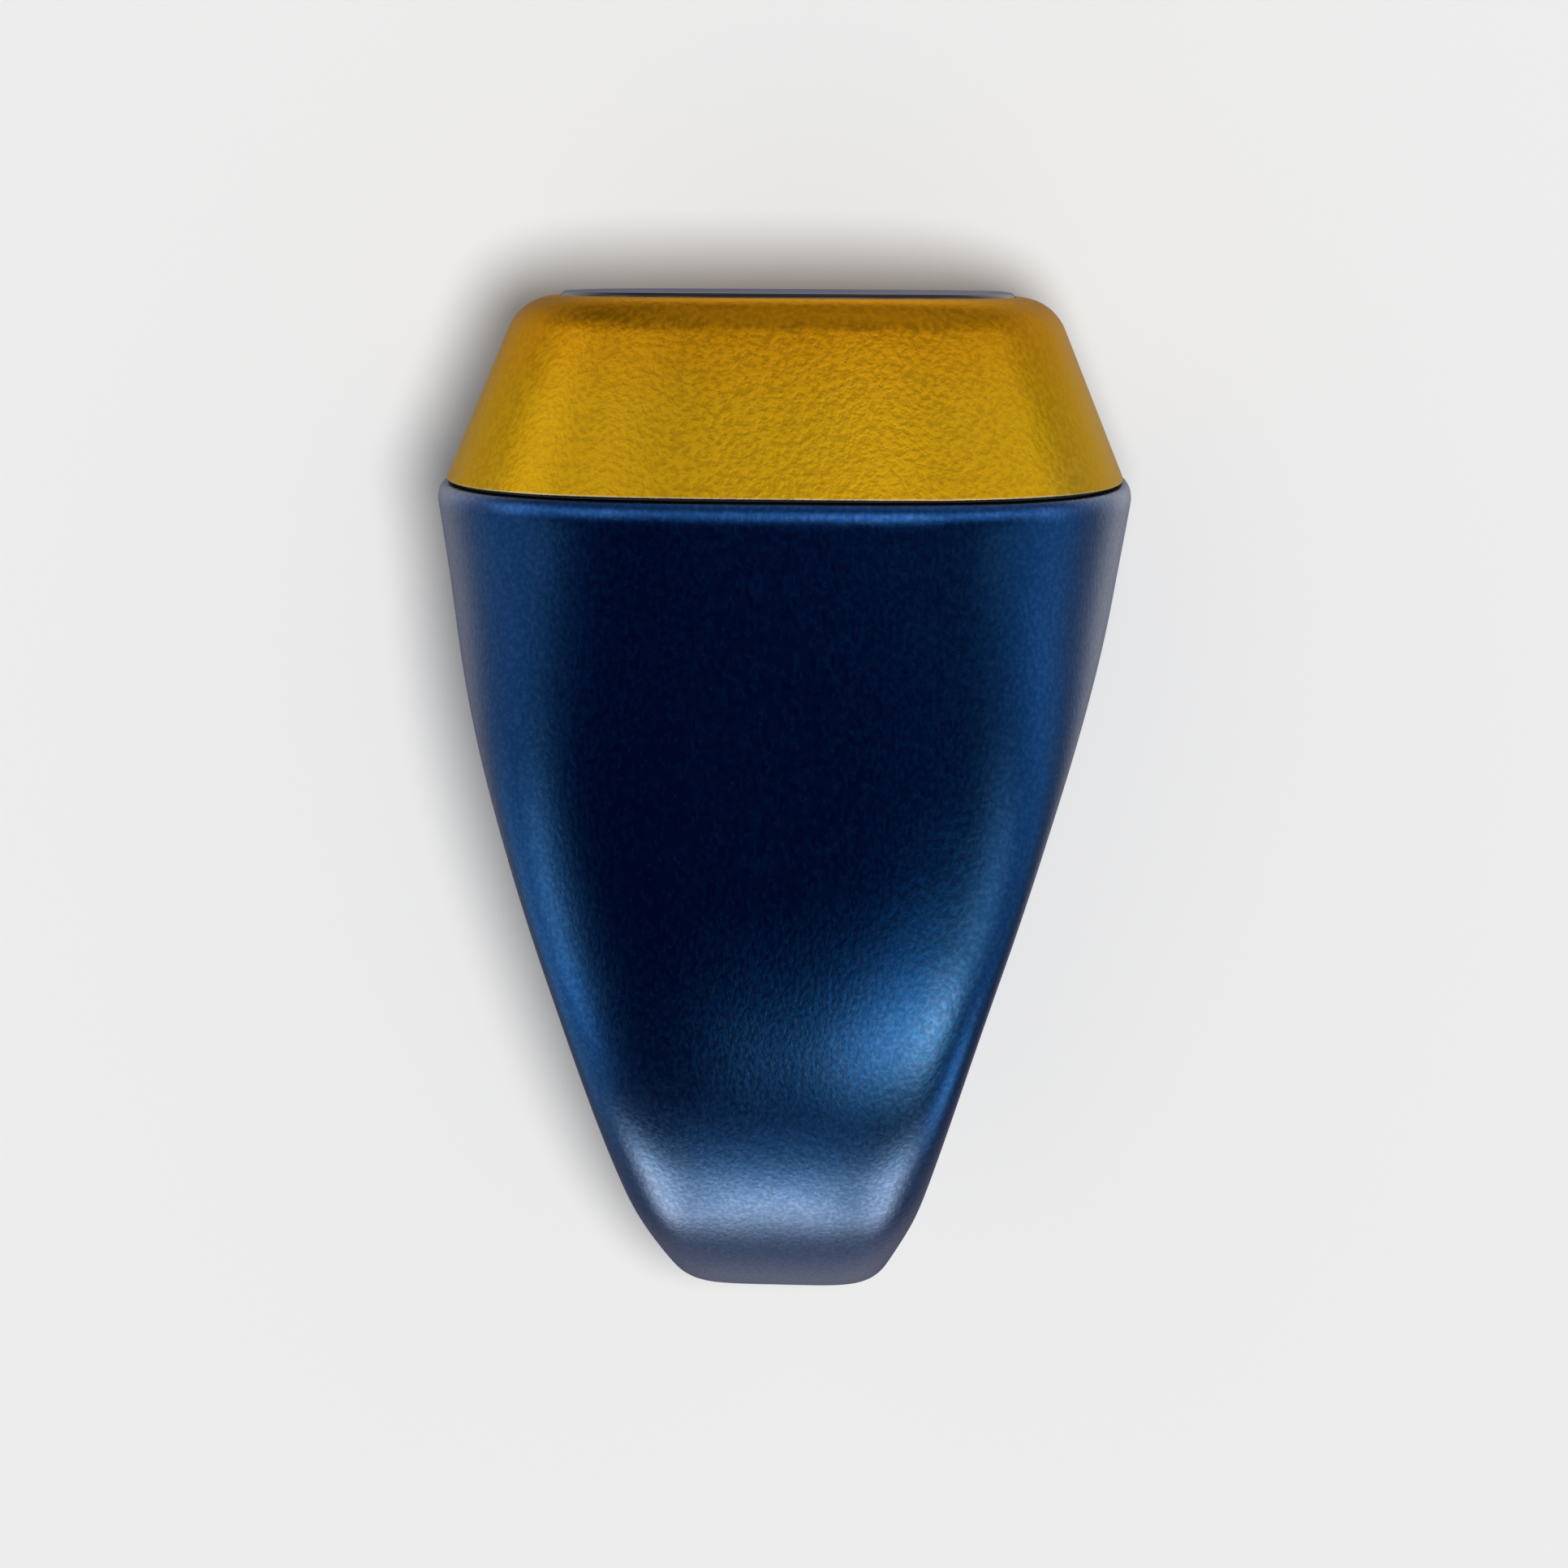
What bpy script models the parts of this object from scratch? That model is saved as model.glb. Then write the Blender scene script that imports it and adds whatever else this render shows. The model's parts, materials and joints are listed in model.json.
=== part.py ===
"""Counter ring: a two-tone aluminium finger ring with a display, a side button and its electronics.

X runs along the finger, Y across it with the button at +Y, and Z up through the display.
The origin is the centre of the finger bore.
"""

import math

import bmesh
import bpy
import numpy as np

MM = 0.001

# Fits
SEAT_GAP = 0.03 * MM
SLIDE_GAP = 0.08 * MM
BAY_GAP = 0.15 * MM

# Band
BORE_RADIUS = 10.0 * MM
BORE_ROUND = 0.4 * MM
FOOT_WALL = 2.0 * MM
SIDE_WALL = 2.5 * MM
ARC_START = 3.0 * MM
ARC_POWER = 2.2
SEAM_RISE = 2.1 * MM
FLOOR_WALL = 0.8 * MM
SEAM_WIDTH = 19.2 * MM
UPPER_WIDTH = 15.72 * MM
LOWER_WIDTH = 10.88 * MM
FOOT_WIDTH = 6.84 * MM
WIDTH_STATION = 0.4
SHOULDER_INSET = 0.3 * MM
SHOULDER_DROP = 0.55 * MM
FOOT_ROUND = 1.8 * MM
FOOT_POWER = 3.2
SEAM_POWER = 3.3
BAND_POWER = 5.0
ROUND_POWER = 2.8
ROUND_TOP = 0.1
ROUND_FOOT = -0.6

# Bezel
BEZEL_HEIGHT = 4.8 * MM
BEZEL_SLOPE = math.radians(22.7)
BEZEL_WALL = 1.0 * MM
TOP_ROUND = 1.4 * MM
TOP_LAND = 0.05 * MM
BASE_CHAMFER = 0.07 * MM
RIM_WIDTH = 0.95 * MM
SKIRT_DEPTH = 0.8 * MM
SKIRT_WALL = 0.6 * MM
GASKET_THICKNESS = 0.05 * MM
GASKET_INSET = 0.12 * MM

# Display
GLASS_THICKNESS = 0.9 * MM
GLASS_PROUD = 0.12 * MM
GLASS_ROUND = 0.15 * MM
GLASS_FIT = 0.06 * MM
ADHESIVE_THICKNESS = 0.1 * MM
ADHESIVE_WIDTH = 0.55 * MM
LEDGE_WIDTH = 1.1 * MM
LEDGE_THICKNESS = 0.45 * MM
WINDOW_POWER = 6.0
PANEL_SIDE_ROOM = 0.55 * MM
PANEL_END_ROOM = 1.0 * MM
PANEL_THICKNESS = 1.0 * MM
PANEL_FLEX_WIDTH = 6.0 * MM
FLEX_THICKNESS = 0.1 * MM
FLEX_OVERLAP = 0.8 * MM
CUSHION_WIDTH = 8.4 * MM
CUSHION_LENGTH = 9.0 * MM
CUSHION_OFFSET = 1.6 * MM

# Board and what it carries
BOARD_THICKNESS = 0.6 * MM
BOARD_INSET = 0.45 * MM
CHIP_HEIGHT = 0.6 * MM
CHIP_SPACE = 0.7 * MM
RADIO_SIDE = 4.0 * MM
RADIO_Y = 1.0 * MM
POWER_SIDE = 2.2 * MM
POWER_Y = 2.6 * MM
CRYSTAL_LENGTH = 2.0 * MM
CRYSTAL_WIDTH = 1.6 * MM
CRYSTAL_HEIGHT = 0.5 * MM
ANTENNA_LENGTH = 3.2 * MM
ANTENNA_WIDTH = 1.6 * MM
ANTENNA_HEIGHT = 0.5 * MM
ANTENNA_INSET = 1.6 * MM
ANTENNA_Y = -1.2 * MM
CAPACITORS = 4
CAPACITOR_LENGTH = 1.0 * MM
CAPACITOR_WIDTH = 0.5 * MM
CAPACITOR_HEIGHT = 0.5 * MM
CAPACITOR_PITCH = 1.2 * MM
CAPACITOR_INSET = 2.4 * MM
CONNECTOR_WIDTH = 7.0 * MM
CONNECTOR_DEPTH = 1.4 * MM
CONNECTOR_OFFSET = 4.6 * MM
SCREW_INSET = 2.25 * MM
SCREW_OFFSET = 1.6 * MM
SCREW_RADIUS = 0.45 * MM
SCREW_LENGTH = 1.5 * MM
SCREW_HEAD_RADIUS = 0.85 * MM
SCREW_HEAD_HEIGHT = 0.35 * MM
SCREW_SLOT = 0.2 * MM

# Tray, battery and vibration motor
TRAY_GAP = 0.1 * MM
TRAY_WALL = 1.3 * MM
TRAY_BACK_WALL = 2.8 * MM
TRAY_FRONT_WALL = 1.2 * MM
TRAY_WEB = 0.3 * MM
BATTERY_HEIGHT = 1.8 * MM
BATTERY_ROUND = 0.3 * MM
TAB_ROOM = 0.35 * MM
TAB_WIDTH = 1.6 * MM
TAB_THICKNESS = 0.12 * MM
TAB_HEIGHT = 1.1 * MM
TAB_INSET = 1.2 * MM
MOTOR_RADIUS = 3.2 * MM
MOTOR_WALL = 0.2 * MM
MOTOR_BASE = 0.25 * MM
SHAFT_RADIUS = 0.3 * MM
ROTOR_GAP = 0.3 * MM
ROTOR_HUB = 0.9 * MM
ROTOR_END_GAP = 0.25 * MM
ROTOR_SWEEP = math.radians(190)

# Side button and its switch
BUTTON_LENGTH = 7.0 * MM
BUTTON_HEIGHT = 1.9 * MM
BUTTON_PROUD = 0.35 * MM
BUTTON_ROUND = 0.2 * MM
BUTTON_TRAVEL = 0.25 * MM
FLANGE_LIP = 0.25 * MM
FLANGE_THICKNESS = 0.4 * MM
SEAL_THICKNESS = 0.3 * MM
SEAL_WIDTH = 0.3 * MM
SEAT_WALL = 0.95 * MM
SWITCH_WIDTH = 3.4 * MM
SWITCH_DEPTH = 1.5 * MM
SWITCH_HEIGHT = 1.2 * MM
SWITCH_WELL = 0.8 * MM
PLUNGER_WIDTH = 1.2 * MM
PLUNGER_HEIGHT = 0.6 * MM
PLUNGER_REACH = 0.6 * MM

# Charging contacts
PIN_SPACING = 4.0 * MM
PIN_RADIUS = 0.75 * MM
PIN_HEAD_RADIUS = 0.95 * MM
PIN_HEAD_HEIGHT = 0.25 * MM
PIN_PROUD = 0.1 * MM
BUSH_WALL = 0.3 * MM
BUSH_RECESS = 0.08 * MM
CONTACT_FLEX_WIDTH = 6.4 * MM
CONTACT_FLEX_ROOM = 0.65 * MM

# Facets
LOOP_POINTS = 56
ROW_SPANS = 20
BORE_STEPS = 24
FOOT_STEPS = 6
ARC_STEPS = 4
TURN_POINTS = 32
PILL_STEPS = 8
FINE_STEPS = 400
WELD = 0.0005 * MM
SHARP_ANGLE = math.radians(30)

# Heights
SEAM_Z = BORE_RADIUS + SEAM_RISE
FOOT_Z = -(BORE_RADIUS + FOOT_WALL)
FLOOR_Z = BORE_RADIUS + FLOOR_WALL
BEZEL_BASE_Z = SEAM_Z + GASKET_THICKNESS + 2 * SEAT_GAP
BEZEL_TOP_Z = BEZEL_BASE_Z + BEZEL_HEIGHT
GLASS_TOP_Z = BEZEL_TOP_Z + GLASS_PROUD
GLASS_BASE_Z = GLASS_TOP_Z - GLASS_THICKNESS
LEDGE_Z = GLASS_BASE_Z - ADHESIVE_THICKNESS - 2 * SEAT_GAP
LEDGE_BASE_Z = LEDGE_Z - LEDGE_THICKNESS
PANEL_TOP_Z = GLASS_BASE_Z - ADHESIVE_THICKNESS - 2 * SEAT_GAP
PANEL_BASE_Z = PANEL_TOP_Z - PANEL_THICKNESS
CONTACT_FLEX_Z = FLOOR_Z + SEAT_GAP
BATTERY_Z = CONTACT_FLEX_Z + FLEX_THICKNESS + SEAT_GAP
BATTERY_TOP_Z = BATTERY_Z + BATTERY_HEIGHT
TRAY_TOP_Z = BATTERY_TOP_Z + SEAT_GAP
BOARD_Z = TRAY_TOP_Z + SEAT_GAP
BOARD_TOP_Z = BOARD_Z + BOARD_THICKNESS
CHIP_Z = BOARD_TOP_Z + SEAT_GAP
CUSHION_Z = CHIP_Z + CHIP_HEIGHT + SEAT_GAP
SWITCH_Z = CHIP_Z
BUTTON_Z = SWITCH_Z + SWITCH_HEIGHT / 2

# Half sizes in plan, as (across X, across Y)
BASE = np.array((SEAM_WIDTH / 2, BORE_RADIUS + SIDE_WALL)) - SHOULDER_INSET
POCKET = BASE - RIM_WIDTH
SKIRT = POCKET - SLIDE_GAP
SKIRT_INNER = SKIRT - SKIRT_WALL
TOP_TANGENT = TOP_ROUND * math.tan((math.pi / 2 - BEZEL_SLOPE) / 2)
TOP_INSET = (BEZEL_HEIGHT - BASE_CHAMFER) * math.tan(BEZEL_SLOPE) + TOP_TANGENT
REBATE = BASE - TOP_INSET - TOP_LAND
GLASS = REBATE - GLASS_FIT
WINDOW = REBATE - LEDGE_WIDTH
PANEL = WINDOW - (PANEL_SIDE_ROOM, PANEL_END_ROOM)
LEDGE_INNER = BASE - (LEDGE_BASE_Z - BEZEL_BASE_Z) * math.tan(BEZEL_SLOPE) - BEZEL_WALL
SKIRT_BASE_Z = SEAM_Z - SKIRT_DEPTH
TRAY_SHARE = (TRAY_TOP_Z - SKIRT_BASE_Z) / (LEDGE_BASE_Z - SKIRT_BASE_Z)
TRAY = SKIRT_INNER + (LEDGE_INNER - SKIRT_INNER) * TRAY_SHARE - TRAY_GAP

# Places along Y
MOTOR_BAY = MOTOR_RADIUS + BAY_GAP
MOTOR_Y = -(TRAY[1] - TRAY_FRONT_WALL - MOTOR_BAY)
BATTERY_BAY_START = MOTOR_Y + MOTOR_BAY + TRAY_WEB
BATTERY_BAY_END = TRAY[1] - TRAY_BACK_WALL
BATTERY_START = BATTERY_BAY_START + BAY_GAP
BATTERY_END = BATTERY_BAY_END - TAB_ROOM
BATTERY_BAY_X = TRAY[0] - TRAY_WALL
SCREW_Y = MOTOR_Y - SCREW_OFFSET
SEAT_Y = BASE[1] - (BUTTON_Z - BEZEL_BASE_Z) * math.tan(BEZEL_SLOPE) - SEAT_WALL
FLANGE_Y = SEAT_Y - SEAL_THICKNESS - 2 * SEAT_GAP
BUTTON_BACK_Y = FLANGE_Y - FLANGE_THICKNESS
PLUNGER_TIP_Y = BUTTON_BACK_Y - SEAT_GAP
SWITCH_FACE_Y = PLUNGER_TIP_Y - PLUNGER_REACH
BOARD = np.array((TRAY[0] - BOARD_INSET, SWITCH_FACE_Y))

# Radii that follow from others
BUSH_RADIUS = PIN_HEAD_RADIUS + SEAT_GAP + BUSH_WALL
MOTOR_INNER = MOTOR_RADIUS - MOTOR_WALL
ROTOR_RADIUS = MOTOR_INNER - ROTOR_GAP

# Looks, as (linear colour, roughness, metallic)
BLUE_ALUMINIUM = ((0.012, 0.030, 0.095), 0.38, 0.9)
GOLD_ALUMINIUM = ((0.47, 0.25, 0.025), 0.36, 1.0)
BLACK_GLASS = ((0.012, 0.012, 0.013), 0.08, 0.0)
BLACK_RUBBER = ((0.012, 0.012, 0.013), 0.75, 0.0)
BLACK_FILM = ((0.02, 0.02, 0.02), 0.6, 0.0)
CLEAR_FILM = ((0.70, 0.73, 0.75), 0.1, 0.0)
POLYIMIDE = ((0.42, 0.17, 0.03), 0.35, 0.0)
SOLDER_MASK = ((0.02, 0.14, 0.07), 0.4, 0.0)
MOULDED_BLACK = ((0.02, 0.02, 0.022), 0.5, 0.0)
MOULDED_GREY = ((0.05, 0.05, 0.055), 0.6, 0.0)
MOULDED_WHITE = ((0.78, 0.78, 0.76), 0.5, 0.0)
FOAM = ((0.05, 0.05, 0.055), 0.9, 0.0)
CERAMIC = ((0.50, 0.42, 0.30), 0.5, 0.0)
BRIGHT_NICKEL = ((0.62, 0.58, 0.50), 0.3, 1.0)
BRIGHT_STEEL = ((0.55, 0.55, 0.56), 0.3, 1.0)
POUCH_FOIL = ((0.42, 0.43, 0.45), 0.4, 0.6)
HEAVY_METAL = ((0.30, 0.30, 0.31), 0.35, 1.0)
GOLD_PLATE = ((0.75, 0.55, 0.22), 0.25, 1.0)


def clear_scene():
    for obj in list(bpy.data.objects):
        bpy.data.objects.remove(obj)


def finish(name, colour, roughness, metallic):
    material = bpy.data.materials.new(name)
    material.use_nodes = True
    shader = material.node_tree.nodes["Principled BSDF"]
    shader.inputs["Base Color"].default_value = (*colour, 1.0)
    shader.inputs["Roughness"].default_value = roughness
    shader.inputs["Metallic"].default_value = metallic
    material.diffuse_color = (*colour, 1.0)
    return material


def solid(name, points, faces, look=None, origin=(0.0, 0.0, 0.0)):
    """One object from world points and faces, its origin where a joint needs it. A cutter has no look."""
    bm = bmesh.new()
    verts = [bm.verts.new(np.subtract(point, origin)) for point in points]
    for face in faces:
        bm.faces.new([verts[index] for index in face])
    bmesh.ops.remove_doubles(bm, verts=bm.verts, dist=WELD)
    bmesh.ops.recalc_face_normals(bm, faces=bm.faces)
    mesh = bpy.data.meshes.new(name)
    bm.to_mesh(mesh)
    bm.free()
    if look:
        mesh.materials.append(finish(name, *look))
    mesh.shade_smooth()
    mesh.set_sharp_from_angle(angle=SHARP_ANGLE)
    obj = bpy.data.objects.new(name, mesh)
    obj.location = origin
    bpy.context.scene.collection.objects.link(obj)
    return obj


def skin(loops, closed):
    """Points and faces over loops of equal count, joined last to first if closed or else capped."""
    count = len(loops[0])
    points = [point for loop in loops for point in loop]
    faces = []
    for row in range(len(loops) if closed else len(loops) - 1):
        low = row * count
        high = (row + 1) % len(loops) * count
        for k in range(count):
            after = (k + 1) % count
            faces.append((low + k, low + after, high + after, high + k))
    if not closed:
        last = len(points) - count
        faces.append(tuple(range(count - 1, -1, -1)))
        faces.append(tuple(range(last, last + count)))
    return points, faces


def lofted(name, loops, look=None, closed=False, origin=(0.0, 0.0, 0.0)):
    return solid(name, *skin(loops, closed), look, origin)


def as_cutter(obj):
    obj.hide_render = True
    obj.display_type = "WIRE"
    return obj


def cut(obj, cutter):
    modifier = obj.modifiers.new(cutter.name, "BOOLEAN")
    modifier.operation = "DIFFERENCE"
    modifier.solver = "EXACT"
    modifier.object = as_cutter(cutter)


def plan_loop(half, power, height):
    """A superellipse around Z: half is its half sizes, and power 2 would make it an ellipse."""
    points = []
    for k in range(LOOP_POINTS):
        turn = 2 * math.pi * k / LOOP_POINTS
        x = math.copysign(abs(math.cos(turn)) ** (2 / power), math.cos(turn))
        y = math.copysign(abs(math.sin(turn)) ** (2 / power), math.sin(turn))
        points.append((half[0] * x, half[1] * y, height))
    return points


def circle_loop(radius, centre, height, count=TURN_POINTS):
    turns = [2 * math.pi * k / count for k in range(count)]
    return [(centre[0] + radius * math.cos(t), centre[1] + radius * math.sin(t), height) for t in turns]


def turned(name, centre, profile, look=None, closed=False, origin=(0.0, 0.0, 0.0)):
    """A piece turned about a vertical axis, from its (radius, height) profile."""
    loops = [circle_loop(radius, centre, height) for radius, height in profile]
    return lofted(name, loops, look, closed, origin)


def pill_loop(length, height, place_y, inset=0.0):
    """A slot outline in XZ around the button's axis: place_y gives Y for each height."""
    radius = height / 2 - inset
    reach = (length - height) / 2
    points = []
    for side in (1, -1):
        for k in range(PILL_STEPS + 1):
            turn = math.pi * k / PILL_STEPS - math.pi / 2
            x = side * (reach + radius * math.cos(turn))
            z = BUTTON_Z + side * radius * math.sin(turn)
            points.append((x, place_y(z), z))
    return points


def level(y):
    return lambda z: y


def box(name, low, high, look=None, origin=(0.0, 0.0, 0.0)):
    corners = ((low[0], low[1]), (high[0], low[1]), (high[0], high[1]), (low[0], high[1]))
    loops = [[(x, y, z) for x, y in corners] for z in (low[2], high[2])]
    return lofted(name, loops, look, origin=origin)


def ribbon(name, route, width, look):
    """A flat flex of even thickness: route is its middle line in YZ, width runs along X."""
    route = np.array(route)
    along = np.gradient(route, axis=0)
    along /= np.linalg.norm(along, axis=1)[:, None]
    across = np.stack((-along[:, 1], along[:, 0]), axis=1) * FLEX_THICKNESS / 2
    outline = np.concatenate((route + across, (route - across)[::-1]))
    loops = [[(x, y, z) for y, z in outline] for x in (-width / 2, width / 2)]
    return lofted(name, loops, look)


def band_half_width(height):
    """Half width along the finger: a cubic through four widths, drawn in round at the foot."""
    stations = (SEAM_Z, WIDTH_STATION * BORE_RADIUS, -WIDTH_STATION * BORE_RADIUS, -BORE_RADIUS)
    widths = (SEAM_WIDTH, UPPER_WIDTH, LOWER_WIDTH, FOOT_WIDTH)
    total = 0.0
    for i, width in enumerate(widths):
        term = width / 2
        for j, station in enumerate(stations):
            if j != i:
                term *= (height - station) / (stations[i] - station)
        total += term
    into_foot = min(max((FOOT_Z + FOOT_ROUND - height) / FOOT_ROUND, 0.0), 1.0)
    return total * (1 - into_foot**FOOT_POWER) ** (1 / FOOT_POWER)


def band_half_depth(height):
    """Half depth across the finger: straight shoulders, then an arc round to the foot."""
    into_arc = max((ARC_START - height) / (ARC_START - FOOT_Z), 0.0)
    return (BORE_RADIUS + SIDE_WALL) * (1 - into_arc**ARC_POWER) ** (1 / ARC_POWER)


def ease(value, start, end):
    """0 at start, 1 at end and smooth between them."""
    share = min(max((value - start) / (end - start), 0.0), 1.0)
    return share**2 * (3 - 2 * share)


def band_power(height):
    return BAND_POWER + (SEAM_POWER - BAND_POWER) * ease(height, 0.0, SEAM_Z)


def band_roundness(height):
    """How far the front is crowned: fully beside the finger, fading out to the bore's top and foot."""
    edge = BORE_RADIUS + BORE_ROUND
    return ease(height, edge, ROUND_TOP * BORE_RADIUS) * ease(height, -edge, ROUND_FOOT * BORE_RADIUS)


def band_row(height, inset):
    """One level line over the front half of the band, from one bore edge to the other."""
    power = band_power(height)
    half_x = band_half_width(height) - inset
    half_y = band_half_depth(height) - inset
    edge = math.sqrt(max((BORE_RADIUS + BORE_ROUND) ** 2 - height**2, 0.0))
    reach = half_x * (1 - (edge / half_y) ** power) ** (1 / power)
    roundness = band_roundness(height)
    round_power = power + (ROUND_POWER - power) * roundness

    def place(turns):
        x = reach * np.sign(np.cos(turns)) * np.abs(np.cos(turns)) ** (2 / round_power)
        crowned = edge + (half_y - edge) * np.abs(np.sin(turns)) ** (2 / round_power)
        square = half_y * (1 - np.minimum(np.abs(x) / half_x, 1.0) ** power) ** (1 / power)
        return x, square + (crowned - square) * roundness

    fine = np.linspace(0.0, math.pi, FINE_STEPS)
    x, y = place(fine)
    along = np.concatenate(((0.0,), np.cumsum(np.hypot(np.diff(x), np.diff(y)))))
    share = (along / along[-1] + np.linspace(0, 1, len(fine))) / 2
    x, y = place(np.interp(np.linspace(0, 1, ROW_SPANS + 1), share, fine))
    y[0] = y[-1] = edge
    return [(x[k], y[k], height) for k in range(ROW_SPANS + 1)]


def band_rows():
    """Level lines from the seam to the foot."""
    edge = BORE_RADIUS + BORE_ROUND
    rows = []
    for k in range(ARC_STEPS // 2 + 1):
        turn = math.pi / 2 * (1 - k / (ARC_STEPS // 2))
        drop = SHOULDER_DROP * (1 - math.sin(turn))
        rows.append(band_row(SEAM_Z - drop, SHOULDER_INSET * (1 - math.cos(turn))))
    rows.append(band_row((SEAM_Z - SHOULDER_DROP + edge) / 2, 0.0))
    for k in range(BORE_STEPS + 1):
        rows.append(band_row(edge * math.cos(math.pi * k / BORE_STEPS), 0.0))
    turn_in = math.acos(-edge / FOOT_Z)
    for k in range(1, FOOT_STEPS):
        rows.append(band_row(FOOT_Z * math.cos(turn_in * (1 - k / FOOT_STEPS)), 0.0))
    return rows


def bore_section(point, side):
    """The line through the bore from one edge to the other, rounded at both, at one point of its rim."""
    x, y, z = point
    edge = BORE_RADIUS + BORE_ROUND
    across = []
    for k in range(ARC_STEPS // 2 + 1):
        turn = math.pi / 2 * k / (ARC_STEPS // 2)
        across.append((x - BORE_ROUND * (1 - math.cos(turn)), edge - BORE_ROUND * math.sin(turn)))
    across += [(-reach, radius) for reach, radius in reversed(across)]
    return [(reach, side * y * radius / edge, z * radius / edge) for reach, radius in across]


def ring_body():
    rows = band_rows()
    first_bore = ARC_STEPS // 2 + 2
    points = []
    faces = []

    def sheet(lines):
        start = len(points)
        count = len(lines[0])
        for line in lines:
            points.extend(line)
        for row in range(len(lines) - 1):
            for k in range(count - 1):
                low = start + row * count + k
                faces.append((low, low + 1, low + count + 1, low + count))

    for side in (-1, 1):
        sheet([[(x, side * y, z) for x, y, z in row] for row in rows])
    rim = [row[0] for row in rows[first_bore : first_bore + BORE_STEPS + 1]]
    for side in (-1, 1):
        sheet([bore_section(point, side) for point in rim])
    for row in (rows[0], rows[-1]):
        start = len(points)
        cap = [(x, -y, z) for x, y, z in row] + [(x, y, z) for x, y, z in row[-2:0:-1]]
        points.extend(cap)
        faces.append(tuple(range(start, start + len(cap))))
    band = solid("ring_body", points, faces, BLUE_ALUMINIUM)
    pocket = [plan_loop(POCKET, SEAM_POWER, z) for z in (FLOOR_Z, SEAM_Z + SEAM_RISE)]
    cut(band, lofted("pocket_cutter", pocket))
    for side, place in pin_places():
        bore = [(BUSH_RADIUS + SEAT_GAP, z) for z in (BORE_RADIUS - FLOOR_WALL, FLOOR_Z + FLOOR_WALL)]
        cut(band, turned(f"pin_cutter_{side}", place, bore))


def bezel_outline():
    """The bezel's section as (half sizes, power, height), from its outer base round to its inner base."""
    lines = [(BASE - BASE_CHAMFER, SEAM_POWER, BEZEL_BASE_Z)]
    lines.append((BASE, SEAM_POWER, BEZEL_BASE_Z + BASE_CHAMFER))
    for k in range(ARC_STEPS + 1):
        turn = BEZEL_SLOPE + (math.pi / 2 - BEZEL_SLOPE) * k / ARC_STEPS
        inset = TOP_INSET - TOP_ROUND * math.cos(turn)
        lines.append((BASE - inset, SEAM_POWER, BEZEL_TOP_Z - TOP_ROUND * (1 - math.sin(turn))))
    lines.append((REBATE, SEAM_POWER, BEZEL_TOP_Z))
    lines.append((REBATE, SEAM_POWER, LEDGE_Z))
    lines.append((WINDOW, WINDOW_POWER, LEDGE_Z))
    lines.append((WINDOW, WINDOW_POWER, LEDGE_BASE_Z))
    lines.append((LEDGE_INNER, SEAM_POWER, LEDGE_BASE_Z))
    lines.append((SKIRT_INNER, SEAM_POWER, SKIRT_BASE_Z))
    lines.append((SKIRT, SEAM_POWER, SKIRT_BASE_Z))
    lines.append((SKIRT, SEAM_POWER, BEZEL_BASE_Z))
    return lines


def bezel():
    loops = [plan_loop(*line) for line in bezel_outline()]
    frame = lofted("bezel", loops, GOLD_ALUMINIUM, closed=True)
    far = BASE[1] + BUTTON_PROUD
    near = SKIRT_INNER[1] - SEAT_WALL - SKIRT_WALL
    grow = 2 * SLIDE_GAP
    slot = [pill_loop(BUTTON_LENGTH + grow, BUTTON_HEIGHT + grow, level(y)) for y in (near, far)]
    cut(frame, lofted("slot_cutter", slot))
    grow = 2 * (FLANGE_LIP + SLIDE_GAP)
    seat = [pill_loop(BUTTON_LENGTH + grow, BUTTON_HEIGHT + grow, level(y)) for y in (near, SEAT_Y)]
    cut(frame, lofted("seat_cutter", seat))


def frame_ring(name, outer, inner, power, low, high, look):
    """A flat frame between two plan outlines."""
    corners = ((outer, low), (outer, high), (inner, high), (inner, low))
    return lofted(name, [plan_loop(half, power, z) for half, z in corners], look, closed=True)


def seals_and_glass():
    low = SEAM_Z + SEAT_GAP
    frame_ring(
        "seam_gasket",
        BASE - GASKET_INSET,
        SKIRT + SLIDE_GAP,
        SEAM_POWER,
        low,
        low + GASKET_THICKNESS,
        BLACK_RUBBER,
    )
    low = LEDGE_Z + SEAT_GAP
    frame_ring(
        "glass_adhesive",
        GLASS,
        GLASS - ADHESIVE_WIDTH,
        SEAM_POWER,
        low,
        low + ADHESIVE_THICKNESS,
        BLACK_FILM,
    )
    edge = [
        (GLASS, GLASS_BASE_Z),
        (GLASS, GLASS_TOP_Z - GLASS_ROUND),
        (GLASS - GLASS_ROUND * (1 - math.sqrt(0.5)), GLASS_TOP_Z - GLASS_ROUND * (1 - math.sqrt(0.5))),
        (GLASS - GLASS_ROUND, GLASS_TOP_Z),
    ]
    lofted("display_glass", [plan_loop(half, SEAM_POWER, z) for half, z in edge], BLACK_GLASS)


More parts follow.
